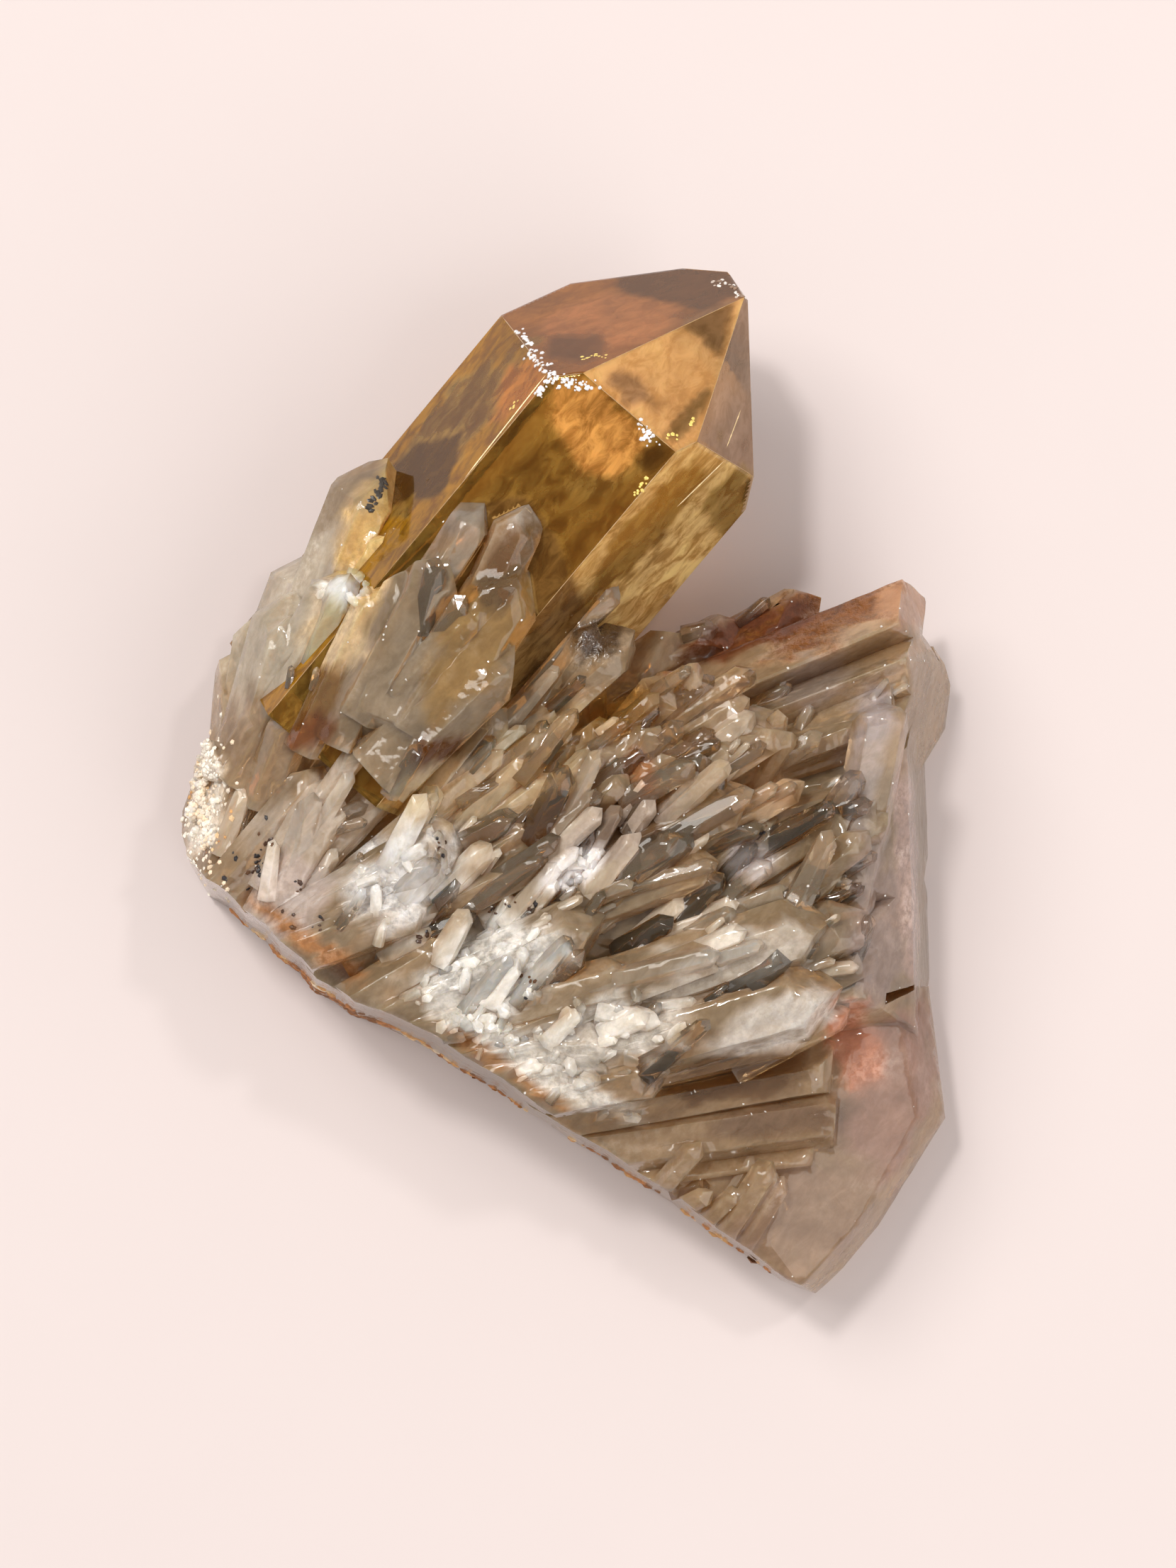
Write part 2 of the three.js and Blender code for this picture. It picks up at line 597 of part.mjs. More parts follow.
// The line that the foot was snapped from its rock along, from its left end to its lower end.
const FOOT_LINE = [
  [-37, -6], [-36.4, -8.2], [-34.6, -10.9], [-32.8, -12], [-31, -13.9], [-29, -15.4], [-27.6, -17.1],
  [-25.7, -18.5], [-24.2, -20.3], [-22.4, -21.2], [-20.7, -22.6], [-17.2, -23.8], [-13.1, -25.8],
  [-10.4, -27.8], [-6.8, -29.8], [-3.6, -32.3], [0.1, -34.5], [3.4, -36.3], [7, -38.7], [10.7, -41],
  [13.9, -43.6], [17.4, -45.9], [20.9, -48.6], [24.2, -49.9],
];
const FOOT_LEAN = 0.13; // how far the snapped side leans in for each millimetre of height
const FOOT_INWARD = [0.54, 0.84]; // the way that it leans
const FOOT_PIVOT = 6.5; // the height at which it follows that line

// Everything on the cluster's side of that line, to well beyond the cluster.
function insideFoot() {
  const far = EVERYWHERE / 5;
  const leftEnd = FOOT_LINE[0][0];
  const outline = [...FOOT_LINE, [far, -far], [far, far], [leftEnd, far]];
  const shape = new THREE.Shape(outline.map(([x, y]) => new THREE.Vector2(x, y)));
  const space = new THREE.ExtrudeGeometry(shape, {
    depth: far,
    bevelEnabled: false,
  });
  const [inX, inY] = FOOT_INWARD.map((share) => share * FOOT_LEAN);
  space.translate(0, 0, -FOOT_PIVOT - far / 2);
  space.applyMatrix4(
    new THREE.Matrix4().set(1, 0, inX, 0, 0, 1, inY, 0, 0, 0, 1, 0, 0, 0, 0, 1),
  );
  space.translate(0, 0, FOOT_PIVOT);
  return solidOf(space);
}

// ---- the cluster ----

function citrineCluster() {
  const grown = join([
    largePoint(),
    bodyCrystals(),
    chiselCrystal(),
    shield(),
    upperArm(),
    ...pointsOnTheFan(),
    ...crustLumps(),
  ]);
  const dressed = join([grown, ...needles(grown)]).subtract(slit());
  const footed = dressed.intersect(insideFoot());
  return outerSkin(breakOff(footed, [0, 0, 0], [0, 0, -1]));
}

const citrine = new THREE.MeshStandardMaterial({
  name: "citrine",
  color: new THREE.Color(0.62, 0.47, 0.3),
  roughness: 0.12,
  metalness: 0,
  transparent: true,
  opacity: 0.75,
});

const cluster = new THREE.Mesh(geometryOf(citrineCluster()), citrine);
cluster.name = "citrine_cluster";
const extent = new THREE.Box3().setFromObject(cluster);
const middle = extent.getCenter(new THREE.Vector3());
cluster.position.set(-middle.x, -middle.y, -extent.min.z);

const part = new THREE.Group();
part.add(cluster);

export default part;
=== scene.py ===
"""The looks of a smoky citrine cluster that lies on its back: a large clear point and a fan of smaller ones.

Run as a script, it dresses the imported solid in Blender. Lengths are in metres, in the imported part's frame:
+X towards the snapped ends of the fan, +Y towards the large point, +Z up from the surface that it lies on.
"""

import itertools
import json
import math
import random
from collections import namedtuple

import bmesh
import bpy
import numpy as np
from bpy.props import FloatProperty, FloatVectorProperty, IntProperty, PointerProperty
from mathutils import Euler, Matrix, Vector
from mathutils.bvhtree import BVHTree

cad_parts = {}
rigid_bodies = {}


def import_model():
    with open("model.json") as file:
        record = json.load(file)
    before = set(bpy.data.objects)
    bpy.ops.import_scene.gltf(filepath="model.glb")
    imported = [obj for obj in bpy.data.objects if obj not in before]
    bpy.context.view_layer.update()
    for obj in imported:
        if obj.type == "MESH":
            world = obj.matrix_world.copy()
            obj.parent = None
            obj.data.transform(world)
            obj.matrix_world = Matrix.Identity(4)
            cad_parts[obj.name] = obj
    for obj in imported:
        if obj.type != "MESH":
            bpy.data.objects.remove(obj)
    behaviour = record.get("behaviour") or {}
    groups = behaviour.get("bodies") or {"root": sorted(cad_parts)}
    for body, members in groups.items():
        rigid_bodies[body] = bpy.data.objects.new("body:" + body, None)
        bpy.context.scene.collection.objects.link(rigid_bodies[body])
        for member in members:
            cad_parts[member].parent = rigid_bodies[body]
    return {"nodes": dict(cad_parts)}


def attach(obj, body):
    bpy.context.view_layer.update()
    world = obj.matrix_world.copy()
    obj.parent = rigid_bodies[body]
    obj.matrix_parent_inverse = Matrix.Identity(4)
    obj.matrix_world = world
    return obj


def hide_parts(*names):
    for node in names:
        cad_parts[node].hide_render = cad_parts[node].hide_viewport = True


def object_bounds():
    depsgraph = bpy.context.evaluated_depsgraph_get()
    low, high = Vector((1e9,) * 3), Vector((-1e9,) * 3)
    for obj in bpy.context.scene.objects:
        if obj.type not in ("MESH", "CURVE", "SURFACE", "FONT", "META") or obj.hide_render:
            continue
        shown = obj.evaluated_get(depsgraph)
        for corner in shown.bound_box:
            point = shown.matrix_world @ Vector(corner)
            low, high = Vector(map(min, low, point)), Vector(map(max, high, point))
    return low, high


bl_info = {
    "name": "Citrine Cluster",
    "version": (1, 0, 0),
    "blender": (4, 5, 0),
    "location": "3D View > Sidebar > Citrine",
    "description": "Dresses the solid of a citrine cluster with small crystals, crust and quartz materials",
    "category": "Add Mesh",
}

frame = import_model()
CAD_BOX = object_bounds()
NODE = "citrine_cluster"

MM = 0.001
AT_TIP = 10  # added to a face's side of the large point where it is one of the tip's
UPWARD_SIDES = (0, 1, 5)  # the large point's sides that face up
DRUSE_TURN = 40  # degrees that the tiny points stray from the fan's lines
CREASE = math.radians(26)  # edges sharper than this stay crisp
MOST_TRIES = 40000  # places tried before fewer crystals are made than asked for
HALVINGS = 7  # times that long edges are halved at most
FOOT_GRAINS = 1500  # chips of crust tried on the foot, and on the left end
END_GRAINS = 420
LOWEST_GRAIN = 1.2 * MM  # high enough that no chip goes under the floor
FOOT_DEPTH = 2.5 * MM  # how far in from the foot's furthest reach chips may sit
FULL_TURN = 6.283
GROOVE_TURN = 49.5  # degrees from +X of the large point's length
RHOMB_ANGLE = math.radians(38.2)  # from quartz's long axis to its termination faces
COS30 = math.cos(math.pi / 6)


def mm(*lengths):
    """A point, or any list of lengths, given in millimetres."""
    return Vector([length * MM for length in lengths])


def srgb(red, green, blue):
    """A colour as Blender keeps it, from its screen values of 0 to 255."""
    def linear(value):
        share = value / 255
        return share / 12.92 if share <= 0.04045 else ((share + 0.055) / 1.055) ** 2.4

    return (linear(red), linear(green), linear(blue))


# ---- where things are on the solid, in millimetres ----

LARGE_POINT = {
    "root": mm(-21.33, 4.19, 10.6),
    "tip": mm(15.17, 46.99, 20.3),
    "across": 29.4 * MM,
    "depth": 28.2 * MM,
    "spin": 0.3,
    "lift": [4 * MM, 4.1 * MM, 1 * MM, 4 * MM, 6.1 * MM, 0],
}
FOOT_LEFT = mm(-34.1, -8.2)
FOOT_RIGHT = mm(21.7, -45.2)
FOOT_OUTWARD = Vector((-0.54, -0.84, -0.11)).normalized()
# how far the solid reaches that way at most
FOOT_REACH = max(v.co.dot(FOOT_OUTWARD) for v in frame["nodes"][NODE].data.vertices)
FAN_LEFT = 66  # degrees from +X that crystals point at the foot's left end
FAN_RIGHT = -4  # and at its lower end
FAN_FOCUS = (-48.4, -40.3)  # where the lines of the fan would meet

# The part of the large point that nothing grows on, seen from above.
BARE_GLASS = [mm(*corner) for corner in (
    (-15.2, 31.2), (-14.2, 27.8), (-11.6, 25.2), (-8.8, 26.4), (-4, 26), (-2.4, 20.4), (-2.6, 12.6),
    (1.2, 10), (6.8, 15), (12, 17.4), (30, 30), (30, 60), (-30, 60), (-22, 31),
)]

# Parts of the fan with broad clean crystals, where no needles grow.
BROAD_CRYSTALS = (
    [mm(*corner) for corner in ((8, -26), (20, -22), (26, -19), (40, -15), (40, -50), (8, -50))],
    [mm(*corner) for corner in ((-22, 13), (-8, 20), (-4, 13), (-10, 3), (-20, 5))],
    [mm(*corner) for corner in ((-22, 20), (-1, 16), (-1, 31), (-22, 31))],
    [mm(*corner) for corner in ((12, 12), (34, 24), (36, 12), (16, 7))],
)

# Short glassy crystals that stand out in the fan: root and tip seen from above, width, and share of milk.
PLACED_CRYSTALS = (
    ((4.4, -8.1), (17.2, -0.4), 2.8, 0.2),
    ((18.2, -1.6), (21.2, 0.2), 1.6, 0.15),
    ((2.6, -10.1), (13.8, -7.1), 2.1, 0.35),
    ((3.2, -10.1), (6.1, -8.9), 1.6, 0.5),
    ((3.2, -18.3), (14.0, -15.4), 2.5, 0.5),
    ((12.1, -13.3), (15.6, -11.6), 2.1, 0.4),
    ((25.7, -19.3), (28.2, -12.0), 2.9, 0.25),
    ((5.1, -25.2), (9.4, -26.5), 2.0, 0.6),
    ((-11.9, -6.5), (-4.7, -2.7), 3.0, 0.2),
    ((-15.1, -4.7), (-12.2, -0.0), 2.3, 0.35),
    ((-10.7, -12.0), (-2.4, -6.5), 2.8, 0.25),
    ((-21.7, -1.0), (-19.1, 4.5), 1.6, 0.35),
    ((-25.5, -7.0), (-23.6, -0.6), 3.6, 0.5),
    ((8.5, 5.9), (13.6, 10.2), 2.3, 0.1),
    ((12.4, 6.6), (17.3, 10.7), 1.9, 0.1),
    ((6.8, 2.3), (10.6, 6.0), 2.4, 0.2),
    ((8.1, 4.6), (10.2, 1.6), 2.9, 0.35),
    ((16.4, 6.6), (21.0, 9.6), 2.1, 0.2),
    ((13.9, 1.3), (18.4, 3.9), 2.0, 0.2),
    ((-6.8, 1.3), (-2.1, 4.9), 2.4, 0.2),
    ((-10.7, 0.6), (-6.8, 4.6), 2.3, 0.2),
    ((-16.0, -0.0), (-13.4, 3.8), 2.0, 0.25),
    ((-1.8, -3.7), (3.2, -0.7), 2.3, 0.2),
    ((1.2, -0.7), (5.5, 2.6), 2.0, 0.2),
    ((15.1, -39.1), (17.5, -35.1), 1.6, 0.5),
    ((17.1, -41.1), (19.6, -36.5), 1.9, 0.45),
    ((10.8, -38.5), (13.3, -37.8), 2.0, 0.1),
    ((21.0, -4.7), (25.0, -2.0), 2.3, 0.2),
    ((13.8, -5.3), (18.1, -3.7), 2.0, 0.25),
    ((-6.8, -8.7), (-0.8, -4.7), 2.3, 0.2),
    ((-13.3, 15.2), (-11.8, 20.8), 2.5, 0.2),
    ((-11.3, 14.4), (-9.3, 17.3), 2.3, 0.25),
    ((-23.3, 11.9), (-20.2, 19.7), 3.8, 0.3),
)

# An oval patch of colour, seen from above: its middle, its half length and half width, the way its length
# points in degrees from +X, its colour, and how hazy the quartz is there, from 0, clear, to 1, milk.
Patch = namedtuple("Patch", "middle half turn colour haze")

FAN_PATCHES = (
    # the left spray
    Patch((-27.3, 15.2), (10, 4.5), 65, srgb(238, 222, 198), 0.5),
    Patch((-17, 24.5), (10.5, 3.6), 71, srgb(255, 214, 142), 0.6),
    Patch((-21.3, 13.9), (4, 3.3), 60, srgb(252, 222, 176), 0.6),
    # painted highlight: a white spot on the left point's crystal
    Patch((-20.7, 18.2), (2.4, 1.6), 0, srgb(250, 246, 240), 0.8),
    Patch((-13.4, 9.2), (7.5, 5), 40, srgb(208, 184, 154), 0.42),
    Patch((-7.4, 13.9), (8, 4), 55, srgb(226, 182, 116), 0.4),
    Patch((-9.1, 26.1), (3.5, 2), 45, srgb(216, 198, 178), 0.38),
    Patch((-3.8, 24.8), (3.2, 1.3), -75, srgb(224, 210, 196), 0.42),
    Patch((-23, 8.6), (3.2, 2.2), 60, srgb(228, 174, 106), 0.32),
    # painted shadow: the hollows below the shield crystal
    Patch((-24, 4.9), (2.8, 1.8), 20, srgb(164, 100, 46), 0.4),
    Patch((-12.1, 3.3), (3, 1.2), 15, srgb(150, 92, 44), 0.42),
    Patch((-5.5, 20), (5, 2.2), 60, srgb(176, 138, 92), 0.34),
    # the middle
    # painted shade in a hollow among the small crystals
    Patch((3.2, 13.6), (4, 2.6), 30, srgb(80, 58, 36), 0.86),
    Patch((-3.5, 1.9), (8, 3.5), 35, srgb(250, 222, 180), 0.5),
    Patch((-12.1, -1.4), (6.5, 3.2), 35, srgb(248, 220, 180), 0.54),
    Patch((3.2, -4.7), (8, 3), 33, srgb(150, 114, 80), 0.52),
    Patch((4.5, 6.6), (4.2, 2.2), 30, srgb(228, 176, 100), 0.28),
    Patch((6.8, 1.3), (2.4, 1.4), -60, srgb(222, 162, 112), 0.42),
    Patch((18.5, -0.6), (2.8, 4.2), 0, srgb(240, 206, 168), 0.5),
    Patch((17.4, -7), (2.6, 2.2), 0, srgb(232, 218, 214), 0.58),
    Patch((0.8, -7.7), (2.8, 1.6), 30, srgb(246, 240, 242), 0.66),
    # the right edge
    # painted shade: the lower-lying band along the upper edge, two patches
    Patch((25.7, 17), (9.5, 3.6), 25, srgb(140, 88, 44), 0.8),
    Patch((32.3, 17.2), (2.4, 2.6), 0, srgb(214, 162, 120), 0.5),
    Patch((17.1, 14.9), (8.8, 2), 22, srgb(130, 76, 46), 0.6),
    Patch((23, 9.9), (4.2, 2.4), 30, srgb(208, 186, 168), 0.45),
    Patch((29, -12.6), (8.8, 3), 95, srgb(206, 180, 166), 0.48),
    Patch((27.8, 2.6), (6.5, 2.3), 80, srgb(226, 208, 198), 0.44),
    Patch((28.7, 6.6), (3, 1.7), 80, srgb(222, 208, 206), 0.46),
    Patch((32.3, -8), (11.5, 1.5), 95, srgb(208, 180, 168), 0.6),
    Patch((30.6, -29.8), (10, 4.6), 75, srgb(212, 172, 152), 0.4),
    Patch((26.9, -24.2), (2.7, 4.8), 20, srgb(212, 144, 110), 0.58),
    # the lower fan
    Patch((16.4, -15.9), (8.6, 3.3), 17, srgb(236, 222, 206), 0.52),
    Patch((19, -22.4), (6, 2.6), 22, srgb(240, 230, 220), 0.6),
    Patch((16.4, -26.9), (8.6, 2.5), 6, srgb(186, 150, 112), 0.28),
    Patch((19.1, -31.5), (7.5, 2), 6, srgb(190, 160, 132), 0.34),
    Patch((23, -40.4), (8, 6), 45, srgb(206, 174, 146), 0.42),
    # along the foot
    Patch((-23.3, -4), (8, 5.5), 45, srgb(234, 216, 196), 0.52),
    Patch((-26.6, -10.6), (5, 4), 45, srgb(234, 216, 206), 0.55),
    Patch((-15.4, -8.7), (6.2, 4.6), 40, srgb(244, 241, 240), 0.7),
    Patch((-6.8, -17.3), (7.5, 4.8), 40, srgb(247, 242, 236), 0.66),
    Patch((3.2, -23.2), (7.6, 4), 20, srgb(236, 227, 216), 0.62),
    Patch((-4.1, -25.2), (13.5, 2), -32, srgb(246, 239, 230), 0.64),
    Patch((-34.6, -1.4), (6, 1.9), 85, srgb(247, 234, 218), 0.86),
    Patch((-24, -14.4), (9, 1.1), -34, srgb(200, 142, 90), 0.6),
    Patch((-6, -26.3), (7, 0.9), -34, srgb(206, 156, 108), 0.55),
)

# Patches on the large point with crisp edges, as outlines seen from above, with their colour and haze: painted
# reflections and painted shade.
Shade = namedtuple("Shade", "outline colour haze")

LARGE_POINT_SHADES = (
    # the upper left face
    Shade(((-0.6, 45.1), (4.3, 46.6), (10.8, 44.2), (10.3, 42.7), (6.9, 40.9), (2, 39.8), (-1.9, 40.7),
           (-2.7, 42.9)), srgb(202, 130, 74), 0.42),
    Shade(((-1.9, 41.6), (2.5, 41.8), (3.6, 40.3), (1.4, 38.7), (-1.9, 39.6)), srgb(146, 96, 50), 0.22),
    Shade(((4.4, 46.8), (6.9, 45.7), (11.2, 44.2), (12.1, 43.8), (15.8, 45.3), (18, 50), (4, 50)),
          srgb(70, 40, 20), 0.8),
    # the front face
    Shade(((10.3, 42.6), (12.1, 43.8), (15.8, 45.2), (15.1, 43.6), (14.3, 39.4), (13.1, 40), (11.6, 41.8)),
          srgb(150, 112, 76), 0.45),
    Shade(((3.3, 36.6), (4.4, 38.1), (6.2, 37.7), (7.1, 36.6), (7.5, 35.7), (8.4, 34.6), (8.2, 34),
           (6.9, 35.1), (5.6, 34.6), (4.4, 35.5)), srgb(172, 132, 96), 0.5),
    Shade(((13.4, 36.7), (12.1, 36.1), (9.2, 33), (8.6, 31.8), (10.3, 31.8), (12.1, 33.7), (13.1, 35.7)),
          srgb(150, 120, 78), 0.45),
    # the broad prism face under them
    Shade(((-1.6, 36.8), (2, 37), (7.7, 31.8), (6, 29.6), (4.4, 28.1), (1, 28.7), (-1.9, 33.8)),
          srgb(240, 176, 96), 0.46),
    Shade(((6.2, 29.4), (8.4, 31.5), (9.7, 30.5), (7.5, 28.5)), srgb(104, 80, 34), 0.1),
    # painted shade: the large point darker low down
    Shade(((-9, 26), (-4, 27), (-1, 23), (2, 16), (4, 8), (-12, 8)), srgb(112, 80, 40), 0.6),
)

LARGE_POINT_PATCHES = (
    Patch((-10.6, 33.3), (9.5, 2.8), 48, srgb(188, 150, 74), 0.26),
    Patch((-4.4, 36.6), (4, 1.8), 60, srgb(236, 154, 62), 0.36),
    # painted shade: dark low on the left face
    Patch((-13.6, 29.4), (5, 2.6), 40, srgb(72, 44, 6), 0.8),
    Patch((3.8, 29.2), (4.5, 2.2), 30, srgb(190, 150, 74), 0.3),
    Patch((6.4, 22.8), (11, 1.5), 50, srgb(206, 166, 86), 0.3),
    Patch((15.6, 26.8), (3.5, 2), 50, srgb(214, 182, 108), 0.32),
)

# Colour and haze of the large point's faces, by side. Side 0 is the front, and 1 comes next on its right.
# On the sides that face up, 0, 1 and 5, the colours are partly painted light: the peach front is painted light
# coming through, the grey of side 1's tip face a painted reflection of the sky, and side 5 darker with painted
# shade.
TIP_FACES = {
    0: (srgb(255, 198, 132), 0.5),
    5: (srgb(158, 98, 38), 0.5),
    1: (srgb(196, 164, 140), 0.38),
    2: (srgb(236, 190, 124), 0.06),
    3: (srgb(240, 200, 140), 0.05),
    4: (srgb(240, 200, 140), 0.05),
}
PRISM_FACES = {
    0: (srgb(198, 152, 68), 0.24),
    5: (srgb(162, 114, 10), 0.6),
    1: (srgb(250, 214, 146), 0.5),
    2: (srgb(232, 184, 112), 0.06),
    3: (srgb(240, 200, 140), 0.05),
    4: (srgb(236, 190, 120), 0.05),
}

# Places on the large point and the fan, seen from above.
HEALED_CRACKS = (
    ((-4.6, 42.4), (-3.7, 41), (-3.1, 39.4), (-2.1, 38.2), (-1.3, 37.1), (-0.1, 36.9), (1.2, 36.4),
     (2.4, 36.7)),
    ((-1.5, 37.1), (-2.2, 36.3), (-2.8, 35.5)),
    ((6.4, 32.9), (7.1, 32.1), (8, 31.4)),
)
GOLD_GLINTS = (
    ((-5.2, 34.5), (-4.7, 35.3)),
    ((1.1, 39.1), (1.8, 39.4), (2.8, 39.5), (3.6, 39.2)),
    ((5.9, 26.5), (7.3, 28.2)),
    ((8.8, 31.8), (9.6, 32.1), (10.1, 31.7)),
    ((11.2, 33), (11.5, 33.8)),
)
PALE_LINES = (
    ((14.4, 30.1), (10, 25.8)),
    ((16, 35), (14.6, 31.3)),
    ((-2, 37.6), (-9.5, 28.2)),
)
CHIPPED_EDGE = ((13.4, 47.3), (14.8, 47.1), (15.6, 46.3), (16.3, 45.2))
DARK_FLAKE = ((-17.6, 29), (-17.3, 28.1), (-18, 26.7), (-18.3, 25.5))
DARK_SPECKS = (
    (-27.9, -4), (-28.2, -6), (-31.2, -6.7), (-29.2, -7), (-30.6, -8.3), (-24.8, -9.1), (-23.1, -12.8),
    (-5.8, -11.1), (-3.4, -11.6), (-3.4, -18.6), (-4.1, -18.3), (18.2, -3.9), (-11.9, -5.5), (-28.5, -8),
    (-29.5, -8.6), (-26.1, -11.9), (-7.1, -11.3), (-13.3, -14.5),
)


# ---- quartz crystals ----

def quartz_planes(root, tip, across, depth=None, spin=0, lift=(0,) * 6, taper=0):
    """The faces of one quartz crystal, as outward normals and their reach from the origin.

    The root comes first, then for each side its prism face and its termination face.
    """
    axis = (tip - root).normalized()
    right = axis.cross(Vector((0, 0, 1))).normalized()
    front = right.cross(axis)
    depth = depth or across * COS30
    planes = [(-axis, -axis.dot(root))]
    for side in range(6):
        turn = math.radians(spin + 60 * side)
        outward = front * math.cos(turn) + right * math.sin(turn)
        reach = depth / 2 if side % 3 == 0 else across * COS30 / 2
        lean = outward * math.cos(taper) + axis * math.sin(taper)
        planes.append((lean, lean.dot(root + outward * reach)))
        slope = outward * math.cos(RHOMB_ANGLE) + axis * math.sin(RHOMB_ANGLE)
        planes.append((slope, slope.dot(tip + axis * lift[side])))
    return planes


def corners_inside(planes):
    """The corners of the space inside a set of planes."""
    normals = np.array([tuple(normal) for normal, _ in planes])
    reaches = np.array([reach for _, reach in planes])
    count = len(planes)
    triples = np.array([
        (i, j, k) for i in range(count) for j in range(i + 1, count) for k in range(j + 1, count)
    ])
    matrices = normals[triples]
    solvable = np.abs(np.linalg.det(matrices)) > 1e-4
    found = np.linalg.solve(matrices[solvable], reaches[triples[solvable]][..., None])[..., 0]
    inside = (found @ normals.T <= reaches + 1e-8).all(axis=1)
    kept = []
    for corner in found[inside]:
        if all(np.abs(corner - other).max() > 2e-6 for other in kept):
            kept.append(corner)
    return kept


def convex_mesh(name, corners):
    """A closed mesh: the convex hull of some corners."""
    made = bmesh.new()
    for corner in corners:
        made.verts.new(corner)
    hull = bmesh.ops.convex_hull(made, input=made.verts)
    loose = [v for v in hull["geom_interior"] if isinstance(v, bmesh.types.BMVert)]
    bmesh.ops.delete(made, geom=loose, context="VERTS")
    bmesh.ops.recalc_face_normals(made, faces=made.faces)
    mesh = bpy.data.meshes.new(name)
    made.to_mesh(mesh)
    made.free()
    return mesh


def natural_lift(chance, across):
    """Three larger termination faces that meet at the point, and three smaller ones."""
    larger = chance.randrange(2)
    return [
        across * (chance.uniform(0, 0.06) if side % 2 == larger else chance.uniform(0.08, 0.5))
        for side in range(6)
    ]


# ---- meshes ----

def weld(mesh):
    """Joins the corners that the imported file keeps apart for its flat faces."""
    made = bmesh.new()
    made.from_mesh(mesh)
    bmesh.ops.remove_doubles(made, verts=made.verts, dist=1e-7)
    made.to_mesh(mesh)
    made.free()


def paint(mesh, name, colours, domain="FACE"):
    """Keeps one colour for each face or each face corner, under a name that the materials read."""
    attribute = mesh.attributes.new(name, "FLOAT_COLOR", domain)
    attribute.data.foreach_set("color", np.asarray(colours, np.float32).ravel())


def painted(mesh, name):
    """The colours of the faces, as they were kept under a name."""
    colours = np.zeros(len(mesh.polygons) * 4, np.float32)
    mesh.attributes[name].data.foreach_get("color", colours)
    return colours.reshape(-1, 4)


def shown_object(name, mesh, material):
    """A piece of the cluster, which rides on its one body."""
    mesh.materials.clear()
    mesh.materials.append(material)
    piece = bpy.data.objects.new(name, mesh)
    bpy.context.scene.collection.objects.link(piece)
    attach(piece, "root")
    return piece


def union(mesh, others):
    """One closed mesh around a mesh and all the others, with their face colours kept."""
    target = bpy.data.objects.new("union_target", mesh)
    group = bpy.data.collections.new("union_group")
    scene = bpy.context.scene
    scene.collection.objects.link(target)
    scene.collection.children.link(group)
    for other in others:
        group.objects.link(bpy.data.objects.new(other.name, other))
    modifier = target.modifiers.new("union", "BOOLEAN")
    modifier.operation = "UNION"
    modifier.operand_type = "COLLECTION"
    modifier.collection = group
    modifier.solver = "MANIFOLD"
    graph = bpy.context.evaluated_depsgraph_get()
    joined = bpy.data.meshes.new_from_object(target.evaluated_get(graph))
    for member in list(group.objects):
        bpy.data.objects.remove(member)
    bpy.data.collections.remove(group)
    bpy.data.objects.remove(target)
    if not joined.polygons:
        raise RuntimeError("the crystals couldn't be joined")
    return joined


def inside_outline(place, outline):
    """Whether a place is inside an outline, seen from above."""
    inside = False
    for at, corner in enumerate(outline):
        previous = outline[at - 1]
        if (corner.y > place.y) != (previous.y > place.y):
            share = (place.y - corner.y) / (previous.y - corner.y)
            if place.x < corner.x + share * (previous.x - corner.x):
                inside = not inside
    return inside


def fan_place(along, out):
    """A place in the fan and the way its crystals point, by how far along the foot and how far out it is."""
    angle = math.radians(FAN_LEFT + (FAN_RIGHT - FAN_LEFT) * along)
    start = FOOT_LEFT.lerp(FOOT_RIGHT, along)
    return start + Vector((math.cos(angle), math.sin(angle))) * out, angle


def refined(mesh, longest, finest, above):
    """The mesh in triangles with no long edges above a height, finest on the large point's upper faces."""
    made = bmesh.new()
    made.from_mesh(mesh)
    side = made.faces.layers.int["side"]
    bmesh.ops.triangulate(made, faces=made.faces)

    def too_long(edge):
        if max(v.co.z for v in edge.verts) < above:
            return False
        fine = any(face[side] % AT_TIP in UPWARD_SIDES and face[side] >= 0 for face in edge.link_faces)
        return edge.calc_length() > (finest if fine else longest)

    for _ in range(HALVINGS):
        long = [edge for edge in made.edges if too_long(edge)]
        if not long:
            break
        bmesh.ops.subdivide_edges(made, edges=long, cuts=1)
        bmesh.ops.triangulate(made, faces=[face for face in made.faces if len(face.verts) > 3])
    made.to_mesh(mesh)
    made.free()


def sharp_edges(mesh):
    """The long sharp edges that face up: their two ends, their way outward, and if they are on the point."""
    made = bmesh.new()
    made.from_mesh(mesh)
    side = made.faces.layers.int["side"]
    found = []
    for edge in made.edges:
        if not edge.is_manifold or not edge.is_convex or edge.calc_face_angle(0) < 0.4:
            continue
        outward = sum((face.normal for face in edge.link_faces), Vector()).normalized()
        if outward.z < 0.3 or edge.calc_length() < 0.7 * MM:
            continue
        on_point = all(face[side] >= 0 for face in edge.link_faces)
        first, last = (v.co.copy() for v in edge.verts)
        found.append((first, last, outward, on_point))
    made.free()
    return found


def smooth_noise(points, size, seed):
    """Soft noise from 0 to 1 at each point, in lumps of a size."""
    table = np.random.default_rng(seed).random((32, 32, 32))
    scaled = points / size
    cell = np.floor(scaled).astype(int)
    share = scaled - cell
    share = share * share * (3 - 2 * share)
    total = np.zeros(len(points))
    for step in itertools.product((0, 1), repeat=3):
        weight = np.prod(np.where(step, share, 1 - share), axis=1)
        total += weight * table[tuple(((cell + step) % 32).T)]
    return total


def rough_noise(points, size, seed):
    """Noise from 0 to 1 with finer lumps on the coarse ones."""
    return sum(
        smooth_noise(points, size / 2 ** octave, seed + octave) * share
        for octave, share in enumerate((0.5, 0.3, 0.2))
    )


def smooth_step(values, low, high):
    """A smooth rise from 0 to 1 as values go from low to high."""
    share = np.clip((values - low) / (high - low), 0, 1)
    return share * share * (3 - 2 * share)


